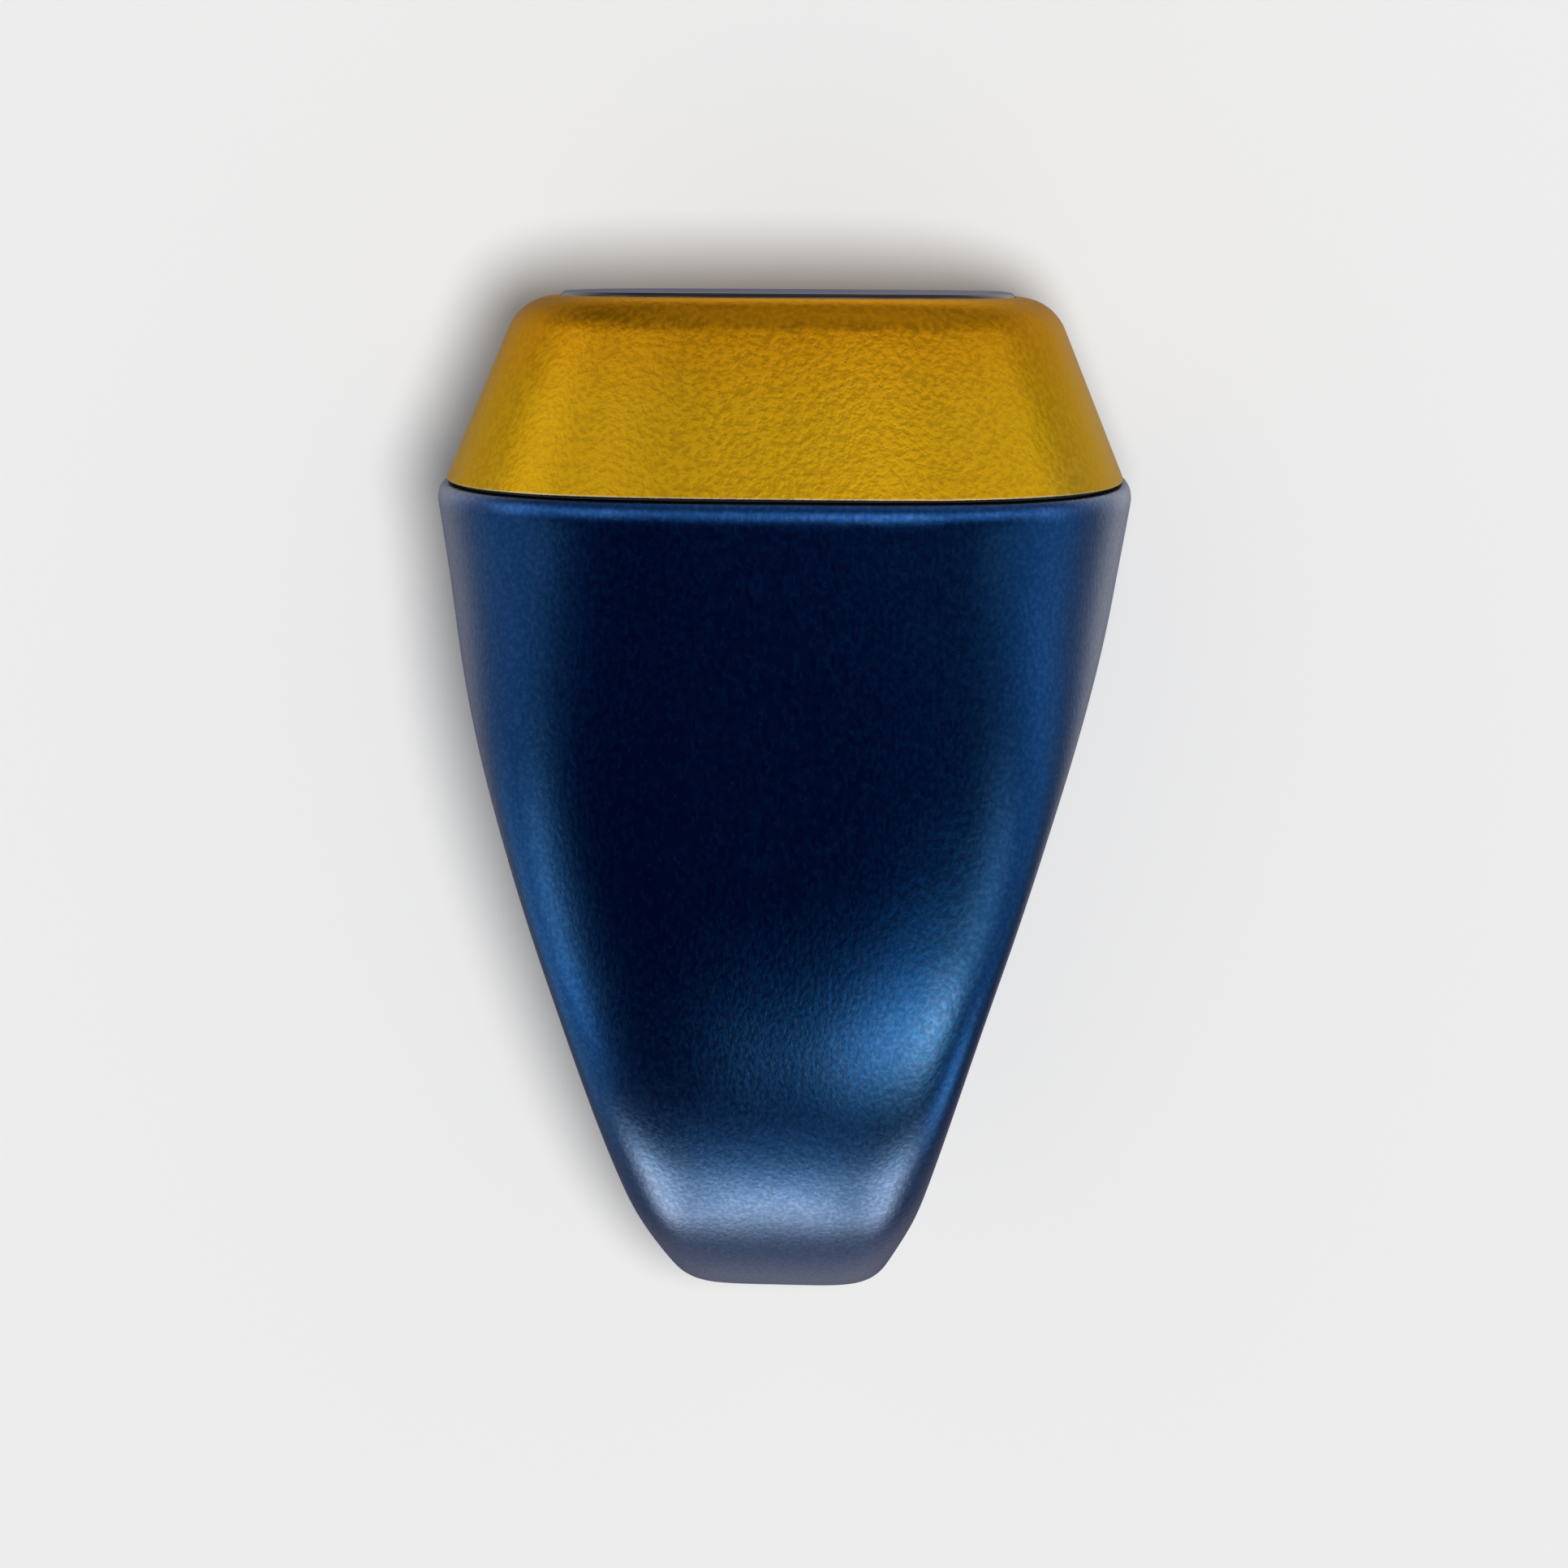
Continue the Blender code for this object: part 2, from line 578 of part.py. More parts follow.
def display():
    low = PANEL_TOP_Z + SEAT_GAP
    film = PANEL - SLIDE_GAP
    box("panel_adhesive", (*-film, low), (*film, low + ADHESIVE_THICKNESS), CLEAR_FILM)
    box("oled_panel", (*-PANEL, PANEL_BASE_Z), (*PANEL, PANEL_TOP_Z), BLACK_GLASS)
    top = PANEL_BASE_Z - SEAT_GAP - FLEX_THICKNESS / 2
    bottom = CUSHION_Z + FLEX_THICKNESS / 2
    bend = (top - bottom) / 2
    turn_y = -PANEL[1]
    route = [(turn_y + FLEX_OVERLAP, top)]
    for k in range(2 * ARC_STEPS + 1):
        turn = math.pi / 2 + math.pi * k / (2 * ARC_STEPS)
        route.append((turn_y + bend * math.cos(turn), bottom + bend + bend * math.sin(turn)))
    route.append((-CONNECTOR_OFFSET, bottom))
    ribbon("oled_flex", route, PANEL_FLEX_WIDTH, POLYIMIDE)
    size = (CONNECTOR_WIDTH, CONNECTOR_DEPTH, CHIP_HEIGHT)
    chip("display_connector", size, (0.0, -CONNECTOR_OFFSET), MOULDED_GREY)
    half = np.array((CUSHION_WIDTH, CUSHION_LENGTH)) / 2
    middle = np.array((0.0, CUSHION_OFFSET))
    box(
        "display_cushion",
        (*(middle - half), CUSHION_Z),
        (*(middle + half), PANEL_BASE_Z - SEAT_GAP),
        FOAM,
    )


def chip(name, size, place, look):
    """A package on the board's upper face."""
    half = np.array(size[:2]) / 2
    low = (*(np.array(place) - half), CHIP_Z)
    high = (*(np.array(place) + half), CHIP_Z + size[2])
    box(name, low, high, look)


def board():
    plate = lofted(
        "main_board",
        [plan_loop(BOARD, SEAM_POWER, z) for z in (BOARD_Z, BOARD_TOP_Z)],
        SOLDER_MASK,
    )
    for side, place in screw_places():
        ends = (BOARD_Z - BOARD_THICKNESS, BOARD_TOP_Z + BOARD_THICKNESS)
        hole = [(SCREW_RADIUS + SLIDE_GAP, z) for z in ends]
        cut(plate, turned(f"board_hole_cutter_{side}", place, hole))
    capacitor_x = CAPACITOR_INSET - BOARD[0]
    radio_x = capacitor_x + CAPACITOR_LENGTH / 2 + CHIP_SPACE + RADIO_SIDE / 2
    power_x = radio_x + RADIO_SIDE / 2 + CHIP_SPACE + POWER_SIDE / 2
    crystal_y = RADIO_Y + RADIO_SIDE / 2 + CHIP_SPACE + CRYSTAL_WIDTH / 2
    antenna_x = BOARD[0] - ANTENNA_INSET
    chip("radio_chip", (RADIO_SIDE, RADIO_SIDE, CHIP_HEIGHT), (radio_x, RADIO_Y), MOULDED_BLACK)
    chip("power_chip", (POWER_SIDE, POWER_SIDE, CHIP_HEIGHT), (power_x, POWER_Y), MOULDED_BLACK)
    crystal = (CRYSTAL_LENGTH, CRYSTAL_WIDTH, CRYSTAL_HEIGHT)
    chip("crystal", crystal, (radio_x, crystal_y), BRIGHT_NICKEL)
    antenna = (ANTENNA_WIDTH, ANTENNA_LENGTH, ANTENNA_HEIGHT)
    chip("chip_antenna", antenna, (antenna_x, ANTENNA_Y), CERAMIC)
    capacitor = (CAPACITOR_LENGTH, CAPACITOR_WIDTH, CAPACITOR_HEIGHT)
    for k in range(CAPACITORS):
        place = (capacitor_x, (k - 1) * CAPACITOR_PITCH)
        chip(f"capacitor_{k + 1}", capacitor, place, CERAMIC)


def screw_places():
    x = TRAY[0] - SCREW_INSET
    return [("left", (-x, SCREW_Y)), ("right", (x, SCREW_Y))]


def board_screws():
    for side, place in screw_places():
        seat = BOARD_TOP_Z + SEAT_GAP
        profile = [
            (SCREW_RADIUS, seat - SCREW_LENGTH),
            (SCREW_RADIUS, seat),
            (SCREW_HEAD_RADIUS, seat),
            (SCREW_HEAD_RADIUS, seat + SCREW_HEAD_HEIGHT),
        ]
        screw = turned(f"board_screw_{side}", place, profile, BRIGHT_STEEL)
        x, y = place
        reach = 2 * SCREW_HEAD_RADIUS
        slot_low = (x - reach, y - SCREW_SLOT / 2, seat + SCREW_HEAD_HEIGHT / 2)
        slot_high = (x + reach, y + SCREW_SLOT / 2, seat + 2 * SCREW_HEAD_HEIGHT)
        cut(screw, box(f"screw_slot_cutter_{side}", slot_low, slot_high))


def tray():
    low = FLOOR_Z + SEAT_GAP
    body = lofted(
        "carrier_tray",
        [plan_loop(TRAY, SEAM_POWER, z) for z in (low, TRAY_TOP_Z)],
        MOULDED_GREY,
    )
    under = FLOOR_Z - BATTERY_HEIGHT
    over = TRAY_TOP_Z + BATTERY_HEIGHT
    bay_low = (-BATTERY_BAY_X, BATTERY_BAY_START, under)
    bay_high = (BATTERY_BAY_X, BATTERY_BAY_END, over)
    cut(body, box("battery_bay_cutter", bay_low, bay_high))
    bay = [(MOTOR_BAY, under), (MOTOR_BAY, over)]
    cut(body, turned("motor_bay_cutter", (0.0, MOTOR_Y), bay))
    for side, place in screw_places():
        hole = [(SCREW_RADIUS + SLIDE_GAP, under), (SCREW_RADIUS + SLIDE_GAP, over)]
        cut(body, turned(f"tray_hole_cutter_{side}", place, hole))


def battery():
    half_x = BATTERY_BAY_X - BAY_GAP
    loops = []
    for inset, z in (
        (BATTERY_ROUND, BATTERY_Z),
        (0.0, BATTERY_Z + BATTERY_ROUND),
        (0.0, BATTERY_TOP_Z - BATTERY_ROUND),
        (BATTERY_ROUND, BATTERY_TOP_Z),
    ):
        x = half_x - inset
        start = BATTERY_START + inset
        end = BATTERY_END - inset
        loops.append([(-x, start, z), (x, start, z), (x, end, z), (-x, end, z)])
    lofted("battery_cell", loops, POUCH_FOIL)
    for side, sign in (("left", -1), ("right", 1)):
        x = sign * (half_x - TAB_INSET)
        y = BATTERY_END + SEAT_GAP
        top = BOARD_Z - SEAT_GAP
        tab_low = (x - TAB_WIDTH / 2, y, top - TAB_HEIGHT)
        tab_high = (x + TAB_WIDTH / 2, y + TAB_THICKNESS, top)
        box(f"battery_tab_{side}", tab_low, tab_high, BRIGHT_NICKEL)


def motor():
    centre = (0.0, MOTOR_Y)
    low = FLOOR_Z + SEAT_GAP
    high = TRAY_TOP_Z - SEAT_GAP
    roof = high - MOTOR_WALL
    case = [(MOTOR_RADIUS, high), (MOTOR_RADIUS, low), (MOTOR_INNER, low), (MOTOR_INNER, roof)]
    turned("motor_case", centre, case, BRIGHT_STEEL)
    base_top = low + MOTOR_BASE
    plate = [(MOTOR_INNER - SEAT_GAP, low), (MOTOR_INNER - SEAT_GAP, base_top)]
    turned("motor_base", centre, plate, SOLDER_MASK)
    pin = [(SHAFT_RADIUS, base_top + SEAT_GAP), (SHAFT_RADIUS, roof - SEAT_GAP)]
    turned("motor_shaft", centre, pin, BRIGHT_STEEL)
    under = base_top + ROTOR_END_GAP
    over = roof - ROTOR_END_GAP
    hub = SHAFT_RADIUS + SLIDE_GAP
    loops = []
    for radius, z in ((None, under), (None, over), (hub, over), (hub, under)):
        loop = []
        for k in range(TURN_POINTS):
            turn = 2 * math.pi * k / TURN_POINTS
            reach = radius or (ROTOR_RADIUS if turn < ROTOR_SWEEP else ROTOR_HUB)
            loop.append((reach * math.cos(turn), MOTOR_Y + reach * math.sin(turn), z))
        loops.append(loop)
    lofted("motor_rotor", loops, HEAVY_METAL, closed=True, origin=(0.0, MOTOR_Y, under))


def button():
    def face_y(z):
        return BASE[1] - (z - BEZEL_BASE_Z) * math.tan(BEZEL_SLOPE) + BUTTON_PROUD

    def edge_y(z):
        return face_y(z) - BUTTON_ROUND

    grow = 2 * FLANGE_LIP
    loops = [
        pill_loop(BUTTON_LENGTH + grow, BUTTON_HEIGHT + grow, level(BUTTON_BACK_Y)),
        pill_loop(BUTTON_LENGTH + grow, BUTTON_HEIGHT + grow, level(FLANGE_Y)),
        pill_loop(BUTTON_LENGTH, BUTTON_HEIGHT, level(FLANGE_Y)),
        pill_loop(BUTTON_LENGTH, BUTTON_HEIGHT, edge_y),
        pill_loop(BUTTON_LENGTH, BUTTON_HEIGHT, face_y, BUTTON_ROUND),
    ]
    lofted("button", loops, GOLD_ALUMINIUM, origin=(0.0, FLANGE_Y, BUTTON_Z))
    inner = 2 * SLIDE_GAP
    outer = min(grow, inner + 2 * SEAL_WIDTH)
    near = FLANGE_Y + SEAT_GAP
    far = near + SEAL_THICKNESS
    seal = []
    for spread, y in ((outer, near), (outer, far), (inner, far), (inner, near)):
        seal.append(pill_loop(BUTTON_LENGTH + spread, BUTTON_HEIGHT + spread, level(y)))
    lofted("button_seal", seal, BLACK_RUBBER, closed=True)


def switch():
    half = SWITCH_WIDTH / 2
    low = (-half, SWITCH_FACE_Y - SWITCH_DEPTH, SWITCH_Z)
    high = (half, SWITCH_FACE_Y, SWITCH_Z + SWITCH_HEIGHT)
    housing = box("switch_housing", low, high, MOULDED_WHITE)
    well_x = PLUNGER_WIDTH / 2 + SLIDE_GAP
    well_z = PLUNGER_HEIGHT / 2 + SLIDE_GAP
    well_low = (-well_x, SWITCH_FACE_Y - SWITCH_WELL, BUTTON_Z - well_z)
    well_high = (well_x, SWITCH_FACE_Y + SWITCH_WELL, BUTTON_Z + well_z)
    cut(housing, box("well_cutter", well_low, well_high))
    root = SWITCH_FACE_Y - SWITCH_WELL + BUTTON_TRAVEL + SLIDE_GAP
    plunger_low = (-PLUNGER_WIDTH / 2, root, BUTTON_Z - PLUNGER_HEIGHT / 2)
    plunger_high = (PLUNGER_WIDTH / 2, PLUNGER_TIP_Y, BUTTON_Z + PLUNGER_HEIGHT / 2)
    origin = (0.0, PLUNGER_TIP_Y, BUTTON_Z)
    box("switch_plunger", plunger_low, plunger_high, MOULDED_BLACK, origin)


def pin_places():
    return [("left", (-PIN_SPACING / 2, 0.0)), ("right", (PIN_SPACING / 2, 0.0))]


def charging_contacts():
    head = FLOOR_Z - PIN_HEAD_HEIGHT
    for side, place in pin_places():
        pin = [
            (PIN_RADIUS, BORE_RADIUS - PIN_PROUD),
            (PIN_RADIUS, head),
            (PIN_HEAD_RADIUS, head),
            (PIN_HEAD_RADIUS, FLOOR_Z),
        ]
        turned(f"charge_pin_{side}", place, pin, GOLD_PLATE)
        base = BORE_RADIUS + BUSH_RECESS
        bush = [
            (BUSH_RADIUS, base),
            (BUSH_RADIUS, FLOOR_Z),
            (PIN_HEAD_RADIUS + SEAT_GAP, FLOOR_Z),
            (PIN_HEAD_RADIUS + SEAT_GAP, head - SEAT_GAP),
            (PIN_RADIUS + SEAT_GAP, head - SEAT_GAP),
            (PIN_RADIUS + SEAT_GAP, base),
        ]
        turned(f"pin_insulator_{side}", place, bush, MOULDED_BLACK, closed=True)
    flat = CONTACT_FLEX_Z + FLEX_THICKNESS / 2
    wall = BATTERY_BAY_END - SEAT_GAP - FLEX_THICKNESS / 2
    bend = FLEX_THICKNESS
    route = [(BATTERY_BAY_START + CONTACT_FLEX_ROOM, flat)]
    for k in range(ARC_STEPS + 1):
        turn = math.pi / 2 * k / ARC_STEPS
        route.append((wall - bend + bend * math.sin(turn), flat + bend - bend * math.cos(turn)))
    route.append((wall, BOARD_Z - SEAT_GAP))
    ribbon("contact_flex", route, CONTACT_FLEX_WIDTH, POLYIMIDE)


clear_scene()
ring_body()
bezel()
seals_and_glass()
display()
board()
board_screws()
tray()
battery()
motor()
button()
switch()
charging_contacts()
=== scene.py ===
import json
import math

import bmesh
import bpy
import numpy as np
from bpy.props import FloatProperty, FloatVectorProperty, PointerProperty
from mathutils import Matrix, Vector


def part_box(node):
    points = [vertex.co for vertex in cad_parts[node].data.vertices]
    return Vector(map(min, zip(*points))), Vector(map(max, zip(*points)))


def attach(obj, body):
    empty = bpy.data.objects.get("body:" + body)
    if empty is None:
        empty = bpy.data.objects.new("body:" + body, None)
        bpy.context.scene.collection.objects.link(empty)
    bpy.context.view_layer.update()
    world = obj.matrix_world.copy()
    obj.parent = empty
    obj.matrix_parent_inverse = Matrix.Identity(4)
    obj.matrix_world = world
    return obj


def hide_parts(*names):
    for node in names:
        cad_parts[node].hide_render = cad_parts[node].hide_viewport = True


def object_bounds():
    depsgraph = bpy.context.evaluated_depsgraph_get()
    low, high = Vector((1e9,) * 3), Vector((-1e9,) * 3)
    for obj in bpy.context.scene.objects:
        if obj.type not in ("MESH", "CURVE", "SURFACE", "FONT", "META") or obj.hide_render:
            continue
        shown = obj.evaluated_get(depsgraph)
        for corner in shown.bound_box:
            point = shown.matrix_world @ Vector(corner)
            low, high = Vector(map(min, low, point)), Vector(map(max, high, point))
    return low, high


bl_info = {
    "name": "Counter Ring",
    "version": (1, 0, 0),
    "blender": (4, 5, 0),
    "location": "View3D > Sidebar > Counter Ring",
    "description": "Dresses a two-tone counter ring: its anodised metal, glass, button and inside pieces",
    "category": "Object",
}

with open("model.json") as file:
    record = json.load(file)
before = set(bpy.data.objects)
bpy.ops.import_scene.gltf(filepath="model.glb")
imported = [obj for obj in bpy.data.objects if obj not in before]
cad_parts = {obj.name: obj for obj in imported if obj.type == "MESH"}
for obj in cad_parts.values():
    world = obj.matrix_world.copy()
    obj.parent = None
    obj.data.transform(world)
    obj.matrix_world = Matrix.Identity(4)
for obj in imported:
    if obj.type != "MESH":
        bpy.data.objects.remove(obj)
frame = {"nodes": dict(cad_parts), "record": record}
CAD_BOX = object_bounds()
BAND_LOW, BAND_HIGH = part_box("ring_body")
BEZEL_LOW, BEZEL_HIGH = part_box("bezel")
BEZEL_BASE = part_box("seam_gasket")[1].z
GLASS_LOW, GLASS_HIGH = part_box("display_glass")
BUTTON_LOW, BUTTON_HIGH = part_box("button")
PANEL_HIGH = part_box("oled_panel")[1]
PIN_LOW, PIN_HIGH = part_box("charge_pin_right")

MM = 0.001
SEAT_GAP = 0.03 * MM
SLIDE_GAP = 0.08 * MM

# How finely the pieces are faceted
FINE_STEPS = 800
LOOP_POINTS = 192
ROW_POINTS = 73
BORE_STEPS = 96
FOOT_STEPS = 14
ARC_STEPS = 10
CHAMFER_STEPS = 3
PILL_STEPS = 24
TURN_POINTS = 64
WELD = 0.0002 * MM
SHARP_ANGLE = math.radians(32)

# Charging contacts: the step under the head, the head's height and the rounding of the tip
PIN_STEP = 0.2 * MM
PIN_HEAD = 0.25 * MM
PIN_ROUND = 0.12 * MM

# Where finishes change, in millimetres: how far above its base the gold darkens and turns more orange as
# painted shade on the upper bezel, and where its pale edge along the base, part bare metal and part painted
# highlight, ends, how far out along the finger it pales with a painted sheen, and the dark border of the
# display
GOLD_TOP_SHADE = (1.6, 5.0)
EDGE_ENDS = (0.03, 0.07)
ENDS_SHEEN = (6.5, 9.5)
SCREEN_BORDER = (0.45, 0.35)

# Soft lamps around the ring: their warmth, direction, tightness and strength
LAMPS = {
    "front_top": ("neutral", (0.64, -0.58, 0.51), 42, 2.37),
    "shoulder": ("neutral", (0.17, -0.87, 0.47), 30, 3.37),
    "top_left": ("neutral", (-0.48, -0.70, 0.53), 29, 2.33),
    "top": ("neutral", (0.15, 0.00, 0.99), 6, 0.80),
    "rear_top": ("neutral", (0.0, 0.80, 0.60), 36, 1.60),
    "rear_left": ("neutral", (-0.75, 0.58, 0.32), 14, 0.95),
    "rear_right": ("neutral", (0.62, 0.70, 0.35), 14, 1.00),
    "upper_left": ("neutral", (-0.90, -0.17, 0.41), 17, 2.42),
    "upper_right": ("neutral", (0.91, -0.09, 0.41), 18, 1.87),
    "left": ("cool", (-0.87, 0.08, -0.49), 13, 1.20),
    "left_low": ("mild", (-0.79, -0.46, -0.41), 36, 1.58),
    "right": ("cool", (0.98, -0.03, -0.20), 9, 0.83),
    "right_low": ("mild", (0.72, -0.56, -0.42), 37, 1.33),
    "front_low": ("mild", (0.18, -0.69, -0.69), 100, 3.20),
    "front_haze": ("cool", (0.26, -0.80, -0.54), 90, 1.55),
    "spot": ("warm", (0.45, -0.60, -0.66), 90, 5.67),
    "under": ("warm", (-0.04, -0.06, -1.00), 90, 4.83),
    "under_left": ("warm", (-0.36, 0.02, -0.93), 90, 5.50),
    "under_right": ("warm", (0.30, 0.00, -0.95), 90, 5.20),
    "under_front": ("cool", (-0.04, -0.29, -0.96), 60, 0.83),
    "rear_low": ("neutral", (0.06, 0.52, -0.85), 9, 0.44),
    "rear_low_left": ("cool", (-0.72, -0.35, -0.60), 90, 1.27),
    "rear_low_right": ("cool", (0.67, 0.00, -0.75), 90, 2.73),
}
LAMP_TINTS = {
    "neutral": (1.0, 1.0, 1.0),
    "cool": (0.52, 0.94, 1.0),
    "mild": (1.3, 1.25, 1.0),
    "warm": (2.2, 1.55, 1.0),
}
DIM_LIGHT = (0.0008, 0.0002, 0.063)
EVEN_LIGHT = 0.3

# The background as metal and glass mirror it, to either side: direction, tightness and strength
WALLS = (((0.55, 0.83, 0.10), 14, 1.00), ((-0.66, 0.72, 0.20), 9, 0.66))

# The card behind the ring: where it fades out, in millimetres from the lamp, and how much paler it is
# made per share of distance, so that slanting light leaves it even
CARD_FADE = (98.0, 130.0)
CARD_LIFT = 1.6

# The photograph's camera: the width of its picture, its focal length and how far it looks past the
# ring, all in pixels, then the sensor in millimetres and the far limit in metres
FRAME_WIDTH = 1932
FOCAL_PIXELS = 3171
SHIFT_PIXELS = 6.8
SENSOR_WIDTH = 36.0
FAR_LIMIT = 10.0


def length(name, description, default):
    return FloatProperty(
        name=name, description=description, default=default, unit="LENGTH", subtype="DISTANCE", precision=5
    )


def angle(name, description, degrees):
    return FloatProperty(
        name=name, description=description, default=math.radians(degrees), unit="ROTATION", subtype="ANGLE"
    )


def number(name, description, default):
    return FloatProperty(name=name, description=description, default=default, precision=3)


def tint(name, description, default):
    return FloatVectorProperty(
        name=name, description=description, default=default, subtype="COLOR", min=0.0, max=1.0
    )


class BandSizes(bpy.types.PropertyGroup):
    """Sizes of the blue band."""

    seam_z: length("Seam height", "Height of the seam above the bore's centre", BAND_HIGH.z)
    foot_z: length("Foot height", "Height of the band's foot", BAND_LOW.z)
    bore_radius: length("Bore radius", "Radius of the finger bore", 10.0 * MM)
    bore_round: length("Bore round", "Rounding of the bore's two edges", 0.4 * MM)
    side_wall: length("Side wall", "Wall beside the finger", 2.5 * MM)
    arc_start: length("Arc start", "Height at which the straight shoulders turn into the arc", 3.0 * MM)
    arc_power: number("Arc power", "Squareness of that arc", 2.2)
    seam_width: length("Seam width", "Width along the finger at the seam", 19.2 * MM)
    upper_width: length("Upper width", "Width along the finger above the bore's centre", 15.72 * MM)
    lower_width: length("Lower width", "Width along the finger below the bore's centre", 10.88 * MM)
    foot_width: length("Foot width", "Width along the finger under the bore", 6.84 * MM)
    width_station: number("Width station", "Where the two middle widths hold, as a share of the bore", 0.4)
    shoulder_inset: length("Shoulder inset", "How far the rounded shoulder draws in", 0.3 * MM)
    shoulder_drop: length("Shoulder drop", "How far down the shoulder is rounded", 0.55 * MM)
    foot_round: length("Foot round", "Height over which the foot is rounded", 1.8 * MM)
    foot_power: number("Foot power", "Squareness of the foot's rounding", 3.2)
    seam_power: number("Seam power", "Squareness of the outline at the seam", 3.3)
    band_power: number("Band power", "Squareness of the outline lower down", 5.0)
    round_power: number("Round power", "Squareness of the crowned front", 2.8)
    round_top: number("Round top", "Height below which it is fully crowned, as a share of the bore", 0.1)
    round_foot: number("Round foot", "Height above which it is fully crowned, as a share of the bore", -0.6)
    rim_width: length("Rim width", "Width of the rim around the pocket", 0.95 * MM)
    floor_wall: length("Floor wall", "Wall between the bore and the pocket", 0.8 * MM)


class BezelSizes(bpy.types.PropertyGroup):
    """Sizes of the gold bezel, the glass in it and the button."""

    base_z: length("Base height", "Height of the bezel's base", BEZEL_BASE)
    slope: angle("Slope", "How far the sides lean in", 22.7)
    top_round: length("Top round", "Radius of the rounded upper edge", 1.4 * MM)
    top_land: length("Top land", "Flat between the rounding and the glass", 0.05 * MM)
    base_chamfer: length("Base chamfer", "Bright edge along the base", 0.03 * MM)
    wall: length("Wall", "Wall of the bezel", 1.0 * MM)
    glass_round: length("Glass round", "Rounding of the glass edge", 0.15 * MM)
    ledge_width: length("Ledge width", "Width of the ledge under the glass", 1.1 * MM)
    ledge_thickness: length("Ledge thickness", "Thickness of that ledge", 0.45 * MM)
    window_power: number("Window power", "Squareness of the window in the ledge", 6.0)
    skirt_wall: length("Skirt wall", "Wall of the skirt inside the band", 0.6 * MM)
    button_length: length("Button length", "Length of the button", 7.0 * MM)
    button_height: length("Button height", "Height of the button", 1.9 * MM)
    button_round: length("Button round", "Rounding of the button's face", 0.2 * MM)
    button_proud: length("Button proud", "How far the button stands proud", 0.35 * MM)
    flange_lip: length("Flange lip", "How far the button's flange reaches out", 0.25 * MM)
    flange_thickness: length("Flange thickness", "Thickness of that flange", 0.4 * MM)
    slot_chamfer: length("Slot chamfer", "Chamfer around the button's slot", 0.1 * MM)


class RingColours(bpy.types.PropertyGroup):
    """Colours of the ring, as linear values."""

    blue: tint("Blue", "Anodised band", (0.0009, 0.041, 0.150))
    gold: tint("Gold", "Anodised bezel and button", (0.480, 0.262, 0.003))
    # Painted shade: the gold made darker and more orange towards the top of the bezel, where less light
    # falls, not a deeper dye
    gold_top_shade: tint("Deep gold", "Anodised gold towards the top", (0.480, 0.199, 0.001))
    # Pale colour that is part bare metal and part painted highlight along the bezel's base, and painted
    # sheen towards the bezel's ends along the finger
    wear_and_sheen: tint("Worn edge", "Bare metal along the bezel's edges", (0.480, 0.396, 0.216))
    black: tint("Black", "Glass and rubber", (0.010, 0.010, 0.011))
    mask: tint("Solder mask", "Circuit board", (0.020, 0.140, 0.070))
    amber: tint("Amber", "Flexible circuits", (0.420, 0.170, 0.030))
    plate: tint("Gold plate", "Charging contacts", (0.780, 0.560, 0.240))
    steel: tint("Steel", "Screws and motor", (0.550, 0.550, 0.560))
    backdrop: tint("Backdrop", "Background behind the ring", (0.840, 0.840, 0.840))


class RingStage(bpy.types.PropertyGroup):
    """Camera, lamp and background."""

    camera_place: FloatVectorProperty(
        name="Camera place",
        description="Where the camera stands",
        default=(3.08 * MM, -75.0 * MM, 17.59 * MM),
        unit="LENGTH",
        subtype="TRANSLATION",
        precision=5,
    )
    camera_tilt: angle("Camera tilt", "How far the camera looks down", 11.20)
    camera_roll: angle("Camera roll", "How far the camera is turned about its own axis", 0.35)
    wall_gap: length("Backdrop gap", "Gap between the ring and the backdrop", 0.5 * MM)
    wall_side: length("Backdrop side", "Side of the backdrop", 600.0 * MM)
    lamp_place: FloatVectorProperty(
        name="Lamp place",
        description="Where the lamp that throws the shadow stands",
        default=(6.5 * MM, -75.0 * MM, 13.9 * MM),
        unit="LENGTH",
        subtype="TRANSLATION",
        precision=5,
    )
    lamp_power: number("Lamp power", "Light on the backdrop", 28.8)
    lamp_radius: length("Lamp radius", "Size of the lamp, which softens the shadow", 4.8 * MM)


class Value:
    """A socket of a finish: an expression on values adds the nodes that it stands for."""

    def __init__(self, finish, socket):
        self.finish = finish
        self.socket = socket

    def maths(self, operation, first, second):
        return self.finish.node("ShaderNodeMath", {"operation": operation}, {0: first, 1: second})

    def __add__(self, other):
        return self.maths("ADD", self, other)

    def __radd__(self, other):
        return self.maths("ADD", other, self)

    def __sub__(self, other):
        return self.maths("SUBTRACT", self, other)

    def __rsub__(self, other):
        return self.maths("SUBTRACT", other, self)

    def __mul__(self, other):
        return self.maths("MULTIPLY", self, other)

    def __rmul__(self, other):
        return self.maths("MULTIPLY", other, self)


